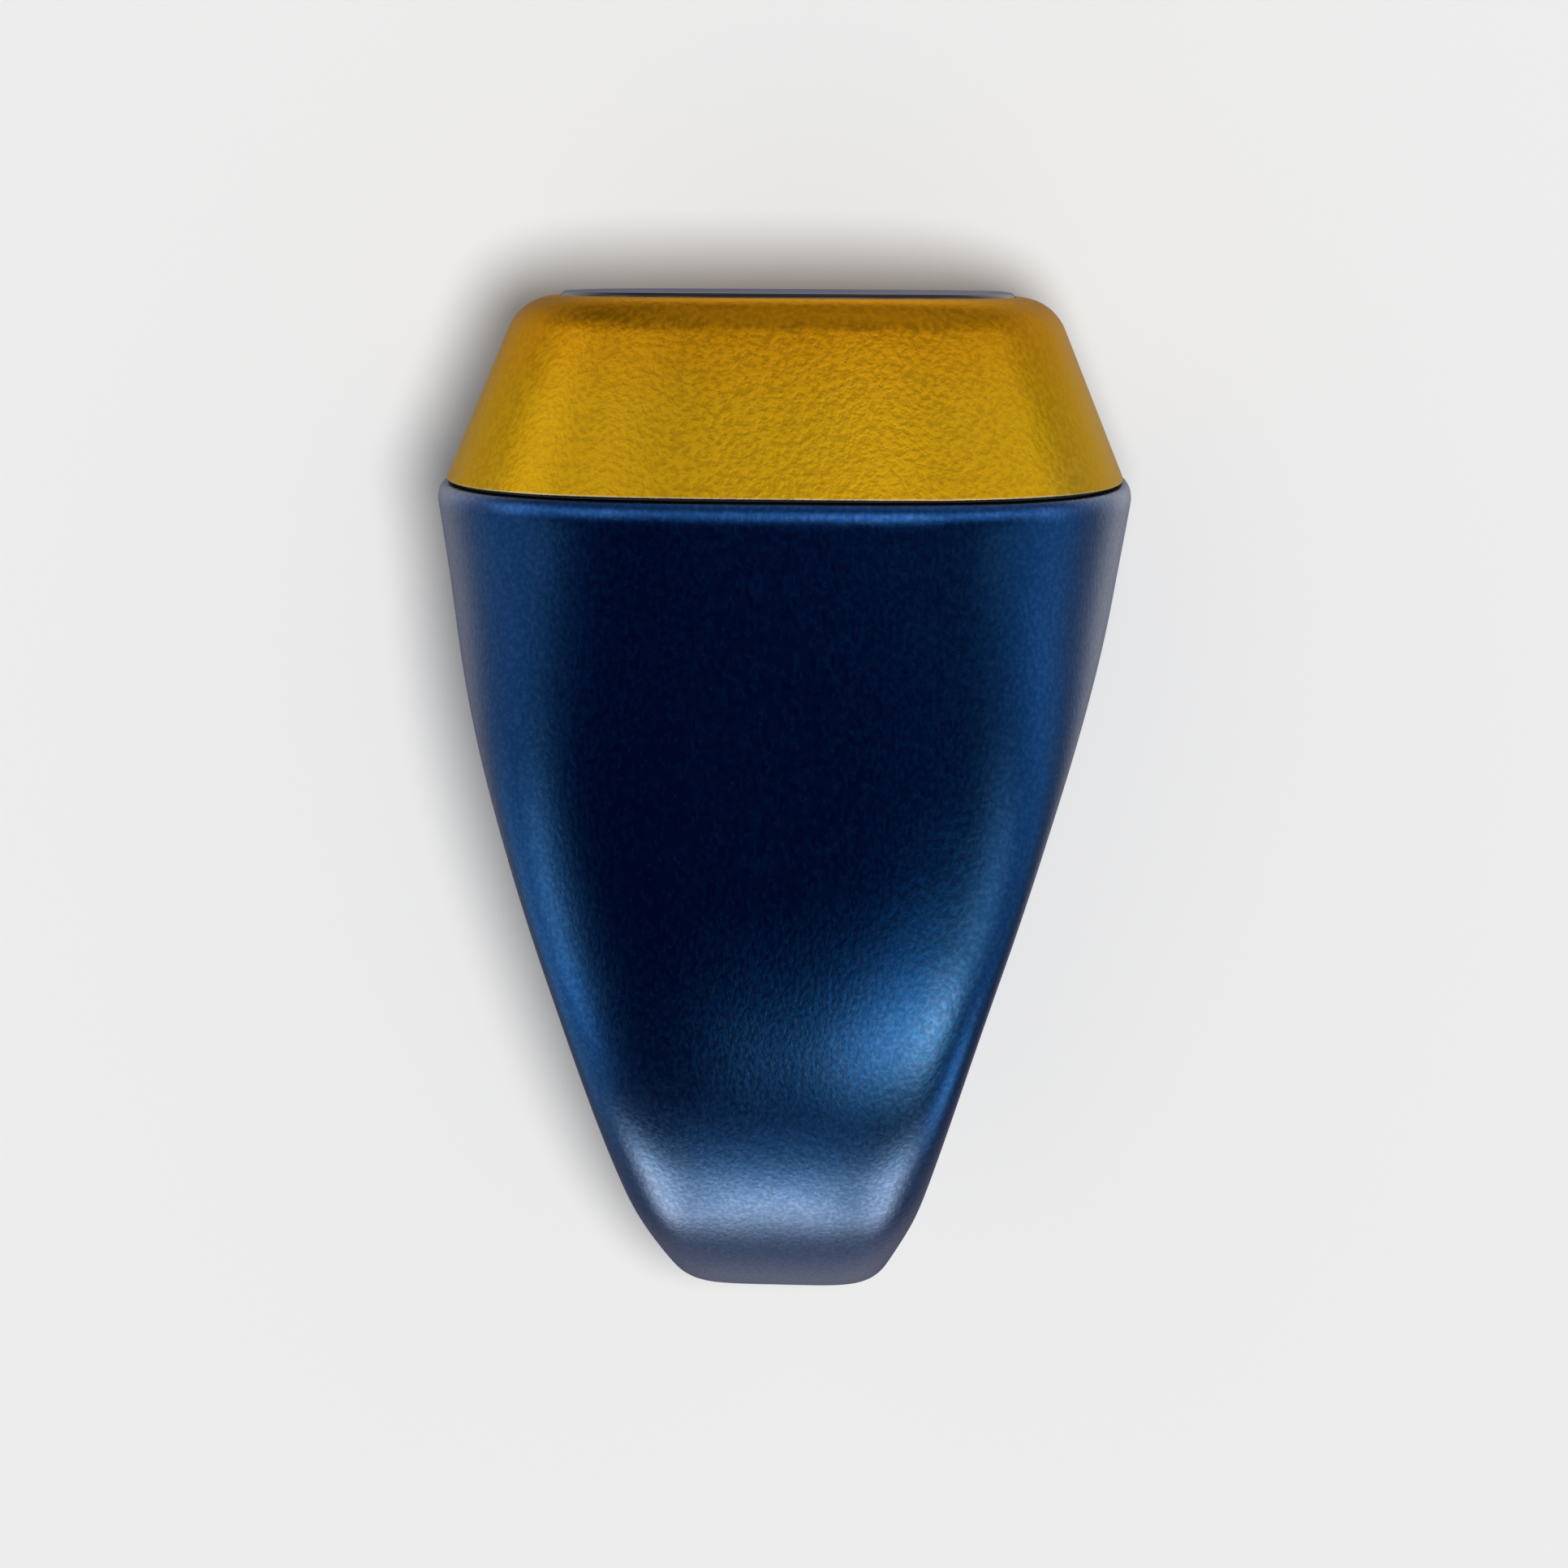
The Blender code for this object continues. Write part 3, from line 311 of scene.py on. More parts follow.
class Finish:
    """The nodes of one material or world."""

    def __init__(self, owner):
        owner.use_nodes = True
        self.tree = owner.node_tree
        self.tree.nodes.clear()

    def node(self, kind, settings=None, sockets=None, output=0):
        """Adds a node: its settings first, then the values or links of its sockets."""
        made = self.tree.nodes.new(kind)
        for name, value in (settings or {}).items():
            setattr(made, name, value)
        for name, value in (sockets or {}).items():
            socket = made.inputs[name]
            if isinstance(value, Value):
                self.tree.links.new(value.socket, socket)
            elif socket.type == "RGBA":
                socket.default_value = (*value, 1.0)
            else:
                socket.default_value = value
        return Value(self, made.outputs[output]) if made.outputs else None

    def place(self, stretch=(1.0, 1.0, 1.0)):
        """Where a point lies on the ring, in millimetres."""
        metres = self.node("ShaderNodeTexCoord", output="Object")
        scale = [share / MM for share in stretch]
        return self.node("ShaderNodeVectorMath", {"operation": "MULTIPLY"}, {0: metres, 1: scale})

    def axis(self, vector, name):
        return self.node("ShaderNodeSeparateXYZ", None, {"Vector": vector}, name)

    def noise(self, place, scale, detail=2.0):
        sockets = {"Vector": place, "Scale": scale, "Detail": detail}
        return self.node("ShaderNodeTexNoise", None, sockets)

    def cells(self, place, scale):
        return self.node("ShaderNodeTexVoronoi", None, {"Vector": place, "Scale": scale})

    def bands(self, place, scale, axis, distortion=0.0):
        settings = {"bands_direction": axis}
        sockets = {"Vector": place, "Scale": scale, "Distortion": distortion}
        return self.node("ShaderNodeTexWave", settings, sockets, 1)

    def rise(self, value, low, high):
        """0 below low, 1 above high and smooth between them."""
        settings = {"interpolation_type": "SMOOTHSTEP"}
        sockets = {"Value": value, "From Min": low, "From Max": high}
        return self.node("ShaderNodeMapRange", settings, sockets)

    def mix(self, share, first, second):
        sockets = {0: share, 6: first, 7: second}
        return self.node("ShaderNodeMix", {"data_type": "RGBA"}, sockets, 2)

    def bump(self, height, depth):
        return self.node("ShaderNodeBump", None, {"Height": height, "Distance": depth}, "Normal")

    def surface(self, colour, roughness, normal=None, **constants):
        sockets = {"Base Color": colour, "Roughness": roughness}
        if normal:
            sockets["Normal"] = normal
        for name, value in constants.items():
            sockets[name.replace("_", " ").title().replace("Ior", "IOR")] = value
        shader = self.node("ShaderNodeBsdfPrincipled", None, sockets)
        self.node("ShaderNodeOutputMaterial", None, {"Surface": shader})


def shade(colour, share):
    return [min(channel * share, 1.0) for channel in colour]


def anodised_blue(finish, colours):
    place = finish.place()
    grain = finish.rise(finish.noise(finish.place((1.0, 1.0, 0.6)), 9.0, 3.0), 0.3, 0.7)
    specks = finish.rise(finish.noise(place, 8.0, 2.0), 0.38, 0.72)
    share = specks * 0.8 + finish.noise(place, 0.4) * 0.2
    colour = finish.mix(share, shade(colours.blue, 0.9), shade(colours.blue, 1.16))
    finish.surface(
        colour,
        0.2 + grain * 0.08,
        finish.bump(grain, 0.0025 * MM),
        metallic=1.0,
        coat_weight=0.13 + specks * 0.17,
        coat_roughness=0.2,
        coat_ior=1.6,
    )


def anodised_gold(finish, colours):
    place = finish.place()
    grain = finish.rise(finish.noise(place, 6.0, 2.0), 0.3, 0.7)
    cloud = finish.noise(place, 0.5)
    share = grain * 0.8 + cloud * 0.2
    height = finish.axis(place, "Z")
    base = BEZEL_BASE / MM
    # Painted shade: the gold darkens and turns more orange towards the top of the bezel
    top_shade_share = finish.rise(height, base + GOLD_TOP_SHADE[0], base + GOLD_TOP_SHADE[1])
    dark = finish.mix(top_shade_share, shade(colours.gold, 0.7), shade(colours.gold_top_shade, 0.7))
    colour = finish.mix(share, dark, finish.mix(top_shade_share, colours.gold, colours.gold_top_shade))
    # Pale edge along the base: part bare metal, part painted highlight
    edge = (1 - finish.rise(height, base + EDGE_ENDS[0], base + EDGE_ENDS[1])) * (0.6 + grain * 0.4)
    across = finish.axis(place, "X")
    # Painted sheen: the gold pales towards its ends along the finger, where light glances off it
    ends = finish.rise(across.maths("ABSOLUTE", across, 0.0), *ENDS_SHEEN) * 0.22
    wear_and_sheen = edge.maths("MAXIMUM", edge, ends)
    colour = finish.mix(wear_and_sheen, colour, colours.wear_and_sheen)
    finish.surface(
        colour,
        0.3 + grain * 0.1,
        finish.bump(grain, 0.005 * MM),
        metallic=1.0,
        specular_tint=(1.0, 0.75, 0.35),
        coat_weight=0.05,
        coat_roughness=0.3,
    )


def cover_glass(finish, colours):
    place = finish.place()
    inside = 1.0
    for name, half in (("X", PANEL_HIGH.x), ("Y", PANEL_HIGH.y)):
        reach = finish.axis(place, name)
        reach = reach.maths("ABSOLUTE", reach, 0.0)
        border = [half / MM - margin for margin in SCREEN_BORDER]
        inside = (1 - finish.rise(reach, *border)) * inside
    smear = finish.noise(place, 0.7, 3.0)
    colour = finish.mix(inside, colours.black, shade(colours.black, 1.6))
    finish.surface(colour, 0.04 + smear * 0.06, specular_ior_level=0.3)


def seal(finish, colours):
    grain = finish.noise(finish.place(), 9.0)
    colour = finish.mix(grain, colours.black, shade(colours.black, 2.0))
    finish.surface(colour, 0.6 + grain * 0.25, finish.bump(grain, 0.006 * MM))


def adhesive(finish, colours):
    grain = finish.noise(finish.place(), 3.0)
    colour = finish.mix(grain, colours.black, shade(colours.black, 3.0))
    finish.surface(colour, 0.5 + grain * 0.2, finish.bump(grain, 0.003 * MM))


def optical_film(finish, colours):
    grain = finish.noise(finish.place(), 1.5)
    finish.surface((0.8, 0.82, 0.84), 0.03 + grain * 0.05, transmission_weight=0.9, ior=1.48)


def display(finish, colours):
    place = finish.place()
    rows = finish.bands(place, 3.2, "X") * finish.bands(place, 3.2, "Y")
    colour = finish.mix(rows, shade(colours.black, 0.8), (0.02, 0.022, 0.03))
    finish.surface(colour, 0.08 + rows * 0.1, coat_weight=0.5, coat_roughness=0.03)


def flex(finish, colours):
    place = finish.place()
    trace = finish.rise(finish.bands(place, 0.9, "X", 0.4), 0.55, 0.7)
    cloud = finish.noise(place, 1.2)
    film = finish.mix(cloud, shade(colours.amber, 0.8), shade(colours.amber, 1.1))
    colour = finish.mix(trace, film, (0.55, 0.26, 0.08))
    finish.surface(colour, 0.4 - trace * 0.12, finish.bump(trace, 0.015 * MM), coat_weight=0.3)


def circuit_board(finish, colours):
    place = finish.place()
    first = finish.rise(finish.bands(place, 0.45, "X", 5.0), 0.7, 0.78)
    second = finish.rise(finish.bands(place, 0.4, "Y", 6.0), 0.7, 0.78)
    trace = first.maths("MAXIMUM", first, second)
    dots = 1 - finish.rise(finish.cells(place, 0.7), 0.1, 0.14)
    mask = finish.mix(trace, colours.mask, shade(colours.mask, 1.7))
    colour = finish.mix(dots, mask, (0.7, 0.5, 0.2))
    finish.surface(colour, 0.38 + trace * 0.08, finish.bump(trace, 0.02 * MM))


def package(finish, colours):
    grain = finish.noise(finish.place(), 11.0)
    colour = finish.mix(grain, shade(colours.black, 1.4), shade(colours.black, 3.0))
    finish.surface(colour, 0.42 + grain * 0.25, finish.bump(grain, 0.006 * MM))


def ceramic(finish, colours):
    along = finish.axis(finish.node("ShaderNodeTexCoord", output="Generated"), "X")
    end = along.maths("ABSOLUTE", along - 0.5, 0.0)
    cap = finish.rise(end, 0.27, 0.3)
    speckle = finish.noise(finish.place(), 8.0)
    body = finish.mix(speckle, (0.36, 0.27, 0.17), (0.58, 0.47, 0.33))
    colour = finish.mix(cap, body, (0.66, 0.66, 0.65))
    finish.surface(colour, 0.55 - cap * 0.2, finish.bump(speckle, 0.004 * MM), metallic=cap)


def brushed(finish, colour, stretch):
    streak = finish.noise(finish.place(stretch), 9.0, 3.0)
    tone = finish.mix(streak, shade(colour, 0.8), shade(colour, 1.1))
    finish.surface(tone, 0.24 + streak * 0.16, finish.bump(streak, 0.003 * MM), metallic=1.0)


def nickel(finish, colours):
    brushed(finish, (0.64, 0.60, 0.52), (0.15, 1.0, 1.0))


def steel(finish, colours):
    brushed(finish, colours.steel, (1.0, 1.0, 0.15))


def weight(finish, colours):
    grain = finish.cells(finish.place(), 6.0)
    colour = finish.mix(grain, (0.24, 0.24, 0.25), (0.38, 0.38, 0.39))
    finish.surface(colour, 0.32 + grain * 0.2, finish.bump(grain, 0.008 * MM), metallic=1.0)


def tray(finish, colours):
    grain = finish.noise(finish.place(), 7.0)
    colour = finish.mix(grain, (0.035, 0.035, 0.039), (0.065, 0.065, 0.07))
    finish.surface(colour, 0.5 + grain * 0.2, finish.bump(grain, 0.008 * MM))


def foam(finish, colours):
    cells = finish.cells(finish.place(), 5.0)
    colour = finish.mix(cells, (0.02, 0.02, 0.022), (0.075, 0.075, 0.08))
    finish.surface(colour, 0.85 + cells * 0.1, finish.bump(cells, 0.06 * MM))


def pouch_foil(finish, colours):
    place = finish.place()
    crease = finish.noise(place, 1.1, 4.0)
    quilt = finish.bands(place, 1.6, "X") * finish.bands(place, 1.6, "Y")
    colour = finish.mix(crease, (0.36, 0.37, 0.39), (0.5, 0.51, 0.53))
    finish.surface(colour, 0.3 + crease * 0.2, finish.bump(quilt * 0.4 + crease, 0.02 * MM), metallic=0.85)


def switch_body(finish, colours):
    grain = finish.noise(finish.place(), 8.0)
    colour = finish.mix(grain, (0.70, 0.70, 0.68), (0.80, 0.80, 0.78))
    finish.surface(colour, 0.42 + grain * 0.16, finish.bump(grain, 0.005 * MM))


def gold_plate(finish, colours):
    place = finish.place()
    wear = finish.noise(place, 2.4, 4.0)
    colour = finish.mix(wear, shade(colours.plate, 0.85), shade(colours.plate, 1.12))
    finish.surface(colour, 0.16 + wear * 0.16, finish.bump(wear, 0.003 * MM), metallic=1.0)


FINISHES = {
    wire.__name__: wire
    for wire in (
        anodised_blue,
        anodised_gold,
        cover_glass,
        seal,
        adhesive,
        optical_film,
        display,
        flex,
        circuit_board,
        package,
        ceramic,
        nickel,
        tray,
        foam,
        steel,
        pouch_foil,
        weight,
        switch_body,
        gold_plate,
    )
}


def material(slot, colours):
    """The material of one of the record's slots, made at its first use."""
    name = f"look_{slot}"
    found = bpy.data.materials.get(name)
    if found is None:
        found = bpy.data.materials.new(name)
        FINISHES[slot](Finish(found), colours)
    return found


def dress(colours, *names):
    """Gives CAD nodes that stay the finish of their slot in the record."""
    slots = {row["node"]: row["material_slot"] for row in frame["record"]["subparts"]}
    for name in names:
        for place in frame["nodes"][name].material_slots:
            place.material = material(slots[name], colours)


def smooth(mesh):
    mesh.shade_smooth()
    mesh.set_sharp_from_angle(angle=SHARP_ANGLE)


def solid(name, points, faces, look=None):
    """One object from points and faces in the ring's own frame."""
    shape = bmesh.new()
    corners = [shape.verts.new(point) for point in points]
    for face in faces:
        shape.faces.new([corners[index] for index in face])
    bmesh.ops.remove_doubles(shape, verts=shape.verts, dist=WELD)
    bmesh.ops.dissolve_degenerate(shape, edges=shape.edges, dist=WELD)
    bmesh.ops.recalc_face_normals(shape, faces=shape.faces)
    mesh = bpy.data.meshes.new(name)
    shape.to_mesh(mesh)
    shape.free()
    if look:
        mesh.materials.append(look)
    smooth(mesh)
    obj = bpy.data.objects.new(name, mesh)
    bpy.context.scene.collection.objects.link(obj)
    return obj


def skin(loops, closed=False):
    """Points and faces over loops of equal count, joined last to first if closed or else capped."""
    count = len(loops[0])
    points = [tuple(point) for loop in loops for point in loop]
    faces = []
    for row in range(len(loops) if closed else len(loops) - 1):
        low = row * count
        high = (row + 1) % len(loops) * count
        for k in range(count):
            after = (k + 1) % count
            faces.append((low + k, low + after, high + after, high + k))
    if not closed:
        last = len(points) - count
        faces.append(tuple(range(count - 1, -1, -1)))
        faces.append(tuple(range(last, last + count)))
    return points, faces


def carve(obj, *cutters):
    """Cuts the cutters out of an object for good."""
    for cutter in cutters:
        modifier = obj.modifiers.new(cutter.name, "BOOLEAN")
        modifier.operation = "DIFFERENCE"
        modifier.solver = "EXACT"
        modifier.object = cutter
    bpy.context.view_layer.update()
    whole = obj.data
    graph = bpy.context.evaluated_depsgraph_get()
    carved = bpy.data.meshes.new_from_object(obj.evaluated_get(graph))
    obj.modifiers.clear()
    obj.data = carved
    bpy.data.meshes.remove(whole)
    carved.name = obj.name
    smooth(carved)
    for cutter in cutters:
        bpy.data.meshes.remove(cutter.data)


def outline(half, power, turns):
    """Points of a rounded rectangle in plan, at turns about its centre."""
    x = half[0] * np.sign(np.cos(turns)) * np.abs(np.cos(turns)) ** (2 / power)
    y = half[1] * np.sign(np.sin(turns)) * np.abs(np.sin(turns)) ** (2 / power)
    return np.stack((x, y), axis=1)


def even_turns(half, power, start, end, count):
    """Turns that space points half by turn and half by length along the outline."""
    fine = np.linspace(start, end, FINE_STEPS)
    steps = np.hypot(*np.diff(outline(half, power, fine), axis=0).T)
    along = np.concatenate(((0.0,), np.cumsum(steps)))
    share = (along / along[-1] + np.linspace(0, 1, FINE_STEPS)) / 2
    return np.interp(np.linspace(0, 1, count), share, fine)


def node_depth(node):
    """A CAD node's size across the finger."""
    low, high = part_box(node)
    return high.y - low.y


def at_height(plan, z):
    return np.column_stack((plan, np.full(len(plan), z)))


def circle(radius, centre, z):
    turns = np.linspace(0, 2 * math.pi, TURN_POINTS, endpoint=False)
    return at_height(np.array(centre) + radius * np.stack((np.cos(turns), np.sin(turns)), axis=1), z)


def half_width(band, z):
    """Half width along the finger: a cubic through four widths, drawn in round at the foot."""
    station = band.width_station * band.bore_radius
    heights = (band.seam_z, station, -station, -band.bore_radius)
    widths = (band.seam_width, band.upper_width, band.lower_width, band.foot_width)
    total = 0.0
    for i, width in enumerate(widths):
        term = width / 2
        for j, height in enumerate(heights):
            if j != i:
                term *= (z - height) / (heights[i] - height)
        total += term
    into_foot = min(max((band.foot_z + band.foot_round - z) / band.foot_round, 0.0), 1.0)
    return total * (1 - into_foot**band.foot_power) ** (1 / band.foot_power)


def half_depth(band, z):
    """Half depth across the finger: straight shoulders, then an arc round to the foot."""
    into_arc = max((band.arc_start - z) / (band.arc_start - band.foot_z), 0.0)
    return (band.bore_radius + band.side_wall) * (1 - into_arc**band.arc_power) ** (1 / band.arc_power)


def ease(value, start, end):
    """0 at start, 1 at end and smooth between them."""
    share = min(max((value - start) / (end - start), 0.0), 1.0)
    return share**2 * (3 - 2 * share)


def squareness(band, z):
    return band.band_power + (band.seam_power - band.band_power) * ease(z, 0.0, band.seam_z)


def roundness(band, z):
    """How far the front is crowned: fully beside the finger, fading out to the bore's top and foot."""
    edge = band.bore_radius + band.bore_round
    top = ease(z, edge, band.round_top * band.bore_radius)
    return top * ease(z, -edge, band.round_foot * band.bore_radius)


def band_row(band, z, inset=0.0):
    """One level line over the front half of the band, from one bore edge to the other."""
    power = squareness(band, z)
    half = (half_width(band, z) - inset, half_depth(band, z) - inset)
    edge = math.sqrt(max((band.bore_radius + band.bore_round) ** 2 - z**2, 0.0))
    reach = half[0] * (1 - (edge / half[1]) ** power) ** (1 / power)
    share = roundness(band, z)
    round_power = power + (band.round_power - power) * share
    crown = (reach, half[1] - edge)
    plan = outline(crown, round_power, even_turns(crown, round_power, 0.0, math.pi, ROW_POINTS))
    square = half[1] * (1 - np.minimum(np.abs(plan[:, 0]) / half[0], 1.0) ** power) ** (1 / power)
    plan[:, 1] = square + (plan[:, 1] + edge - square) * share
    plan[0, 1] = plan[-1, 1] = edge
    return at_height(plan, z)


def bore_section(band, point, side):
    """The line through the bore from one edge to the other, rounded at both, at one point of its rim."""
    x, y, z = point
    edge = band.bore_radius + band.bore_round
    across = []
    for k in range(ARC_STEPS + 1):
        turn = math.pi / 2 * k / ARC_STEPS
        reach = x - band.bore_round * (1 - math.cos(turn))
        across.append((reach, edge - band.bore_round * math.sin(turn)))
    across += [(-reach, radius) for reach, radius in reversed(across)]
    return [(reach, side * y * radius / edge, z * radius / edge) for reach, radius in across]


def band_mesh(band):
    """Points and faces of the band with its pocket."""
    edge = band.bore_radius + band.bore_round
    rows = []
    for k in range(ARC_STEPS):
        turn = math.pi / 2 * (1 - k / ARC_STEPS)
        drop = band.shoulder_drop * (1 - math.sin(turn))
        rows.append(band_row(band, band.seam_z - drop, band.shoulder_inset * (1 - math.cos(turn))))
    for z in np.linspace(band.seam_z - band.shoulder_drop, edge, ARC_STEPS // 2, endpoint=False):
        rows.append(band_row(band, z))
    first_bore = len(rows)
    for k in range(BORE_STEPS + 1):
        rows.append(band_row(band, edge * math.cos(math.pi * k / BORE_STEPS)))
    turn_in = math.acos(-edge / band.foot_z)
    for k in range(1, FOOT_STEPS):
        rows.append(band_row(band, band.foot_z * math.cos(turn_in * (1 - k / FOOT_STEPS))))
    points = []
    faces = []

    def sheet(lines):
        start = len(points)
        count = len(lines[0])
        for line in lines:
            points.extend(tuple(point) for point in line)
        for row in range(len(lines) - 1):
            for k in range(count - 1):
                low = start + row * count + k
                faces.append((low, low + 1, low + count + 1, low + count))

    for side in (-1, 1):
        sheet([row * (1, side, 1) for row in rows])
    rim = [row[0] for row in rows[first_bore : first_bore + BORE_STEPS + 1]]
    for side in (-1, 1):
        sheet([bore_section(band, point, side) for point in rim])
    top = np.concatenate((rows[0] * (1, -1, 1), rows[0][-2:0:-1]))
    foot = np.concatenate((rows[-1] * (1, -1, 1), rows[-1][-2:0:-1]))
    half = np.array((top[:, 0].max(), top[:, 1].max()))
    pocket = at_height(top[:, :2] * (1 - band.rim_width / half), band.seam_z)
    floor = pocket - (0.0, 0.0, band.seam_z - band.bore_radius - band.floor_wall)
    closed = [np.concatenate((loop, loop[:1])) for loop in (top, pocket, floor)]
    sheet(closed)
    for cap in (foot, floor):
        start = len(points)
        points.extend(tuple(point) for point in cap)
        faces.append(tuple(range(start, start + len(cap))))
    return points, faces


def bezel_lines(bezel, power):
    """The bezel's section as (half sizes, power, height), from its outer base round to its inner base."""
    base = np.array((BEZEL_HIGH.x, BEZEL_HIGH.y))
    top_z = BEZEL_HIGH.z
    lines = []
    for k in range(CHAMFER_STEPS + 1):
        turn = math.pi / 2 * k / CHAMFER_STEPS
        inset = bezel.base_chamfer * (1 - math.sin(turn))
        lines.append((base - inset, power, bezel.base_z + bezel.base_chamfer * (1 - math.cos(turn))))
    tangent = bezel.top_round * math.tan((math.pi / 2 - bezel.slope) / 2)
    rise = top_z - bezel.base_z - bezel.base_chamfer
    top_inset = rise * math.tan(bezel.slope) + tangent
    for k in range(1, ARC_STEPS):
        share = k / ARC_STEPS
        straight = rise - bezel.top_round * (1 - math.sin(bezel.slope))
        z = bezel.base_z + bezel.base_chamfer + share * straight
        lines.append((base - share * straight * math.tan(bezel.slope), power, z))
    for k in range(2 * ARC_STEPS + 1):
        turn = bezel.slope + (math.pi / 2 - bezel.slope) * k / (2 * ARC_STEPS)
        inset = top_inset - bezel.top_round * math.cos(turn)
        lines.append((base - inset, power, top_z - bezel.top_round * (1 - math.sin(turn))))
    rebate = base - top_inset - bezel.top_land
    ledge_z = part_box("glass_adhesive")[0].z - SEAT_GAP
    ledge_base = ledge_z - bezel.ledge_thickness
    window = rebate - bezel.ledge_width
    roof = base - (ledge_base - bezel.base_z) * math.tan(bezel.slope) - bezel.wall
    pocket = base - bpy.context.scene.ring_band.rim_width
    skirt = pocket - SLIDE_GAP
    for half, squareness_here, z in (
        (rebate, power, top_z),
        (rebate, power, ledge_z),
        (window, bezel.window_power, ledge_z),
        (window, bezel.window_power, ledge_base),
        (roof, power, ledge_base),
        (skirt - bezel.skirt_wall, power, BEZEL_LOW.z),
        (skirt, power, BEZEL_LOW.z),
        (skirt, power, bezel.base_z),
    ):
        lines.append((half, squareness_here, z))
    return lines


def pill(length_x, height, inset=0.0):
    """A slot outline in XZ about the button's middle, as (x, height above the middle)."""
    radius = height / 2 - inset
    reach = (length_x - height) / 2
    points = []
    for side in (1, -1):
        for k in range(PILL_STEPS + 1):
            turn = math.pi * k / PILL_STEPS - math.pi / 2
            points.append((side * (reach + radius * math.cos(turn)), side * radius * math.sin(turn)))
    return np.array(points)


def upright(plan, y):
    """Stands a slot outline up at y, which is one number or one for each point."""
    middle = (BUTTON_LOW.z + BUTTON_HIGH.z) / 2
    return np.column_stack((plan[:, 0], np.broadcast_to(y, len(plan)), plan[:, 1] + middle))


def bezel_face(bezel, power, plan):
    """Where the bezel's far side lies behind the points of a slot outline."""
    middle = (BUTTON_LOW.z + BUTTON_HIGH.z) / 2
    lean = (plan[:, 1] + middle - bezel.base_z - bezel.base_chamfer) * math.tan(bezel.slope)
    x = np.abs(plan[:, 0]) / (BEZEL_HIGH.x - lean)
    return (BEZEL_HIGH.y - lean) * (1 - x**power) ** (1 / power)


def turned(centre, profile):
    """Points and faces of a piece turned about a vertical axis, from its (radius, height) profile."""
    return skin([circle(radius, centre, z) for radius, z in profile])


class RING_OT_band(bpy.types.Operator):
    """Makes the blue band with its bore, shoulder and pocket"""

    bl_idname = "counter_ring.band"
    bl_label = "Blue band"

    def execute(self, context):
        band = context.scene.ring_band
        look = material("anodised_blue", context.scene.ring_colours)
        piece = solid("band", *band_mesh(band), look)
        low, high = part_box("pin_insulator_right")
        radius = (high.x - low.x) / 2 + SEAT_GAP
        ends = (band.bore_radius - band.floor_wall, high.z + band.floor_wall)
        cutters = []
        for side in (-1, 1):
            centre = (side * (low.x + high.x) / 2, 0.0)
            cutters.append(solid(f"pin_cutter_{side}", *turned(centre, [(radius, z) for z in ends])))
        carve(piece, *cutters)
        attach(piece, "ring")
        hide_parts("ring_body")
        return {"FINISHED"}


class RING_OT_bezel(bpy.types.Operator):
    """Makes the gold bezel with its rounded top and the slot for the button"""

    bl_idname = "counter_ring.bezel"
    bl_label = "Gold bezel"

    def execute(self, context):
        bezel = context.scene.ring_bezel
        power = context.scene.ring_band.seam_power
        base = (BEZEL_HIGH.x, BEZEL_HIGH.y)
        turns = even_turns(base, power, 0, 2 * math.pi, LOOP_POINTS + 1)[:-1]
        lines = bezel_lines(bezel, power)
        loops = [at_height(outline(half, squared, turns), z) for half, squared, z in lines]
        look = material("anodised_gold", context.scene.ring_colours)
        piece = solid("bezel_frame", *skin(loops, closed=True), look)
        grow = 2 * SLIDE_GAP
        slot = pill(bezel.button_length + grow, bezel.button_height + grow)
        # The flare runs as far past the bezel's face as it starts inside it
        flared = grow + 4 * bezel.slot_chamfer
        flare = pill(bezel.button_length + flared, bezel.button_height + flared)
        near = BUTTON_LOW.y - bezel.wall - bezel.skirt_wall
        face = bezel_face(bezel, power, slot)
        outer = [
            upright(slot, near),
            upright(slot, face - bezel.slot_chamfer),
            upright(flare, face + bezel.slot_chamfer),
            upright(flare, BEZEL_HIGH.y + bezel.button_proud),
        ]
        grow += 2 * bezel.flange_lip
        seat = pill(bezel.button_length + grow, bezel.button_height + grow)
        seat_y = BUTTON_LOW.y + bezel.flange_thickness + node_depth("button_seal") + 2 * SEAT_GAP
        inner = [upright(seat, near), upright(seat, seat_y)]
        carve(piece, solid("slot_cutter", *skin(outer)), solid("seat_cutter", *skin(inner)))
        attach(piece, "ring")
        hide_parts("bezel")
        return {"FINISHED"}


class RING_OT_glass(bpy.types.Operator):
    """Makes the cover glass with its rounded edge"""

    bl_idname = "counter_ring.glass"
    bl_label = "Cover glass"

    def execute(self, context):
        bezel = context.scene.ring_bezel
        power = context.scene.ring_band.seam_power
        half = np.array((GLASS_HIGH.x, GLASS_HIGH.y))
        turns = even_turns(half, power, 0, 2 * math.pi, LOOP_POINTS + 1)[:-1]
        loops = [at_height(outline(half, power, turns), GLASS_LOW.z)]
        for k in range(ARC_STEPS + 1):
            turn = math.pi / 2 * k / ARC_STEPS
            inset = bezel.glass_round * (1 - math.cos(turn))
            z = GLASS_HIGH.z - bezel.glass_round * (1 - math.sin(turn))
            loops.append(at_height(outline(half - inset, power, turns), z))
        look = material("cover_glass", context.scene.ring_colours)
        piece = solid("glass", *skin(loops), look)
        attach(piece, "ring")
        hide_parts("display_glass")
        return {"FINISHED"}


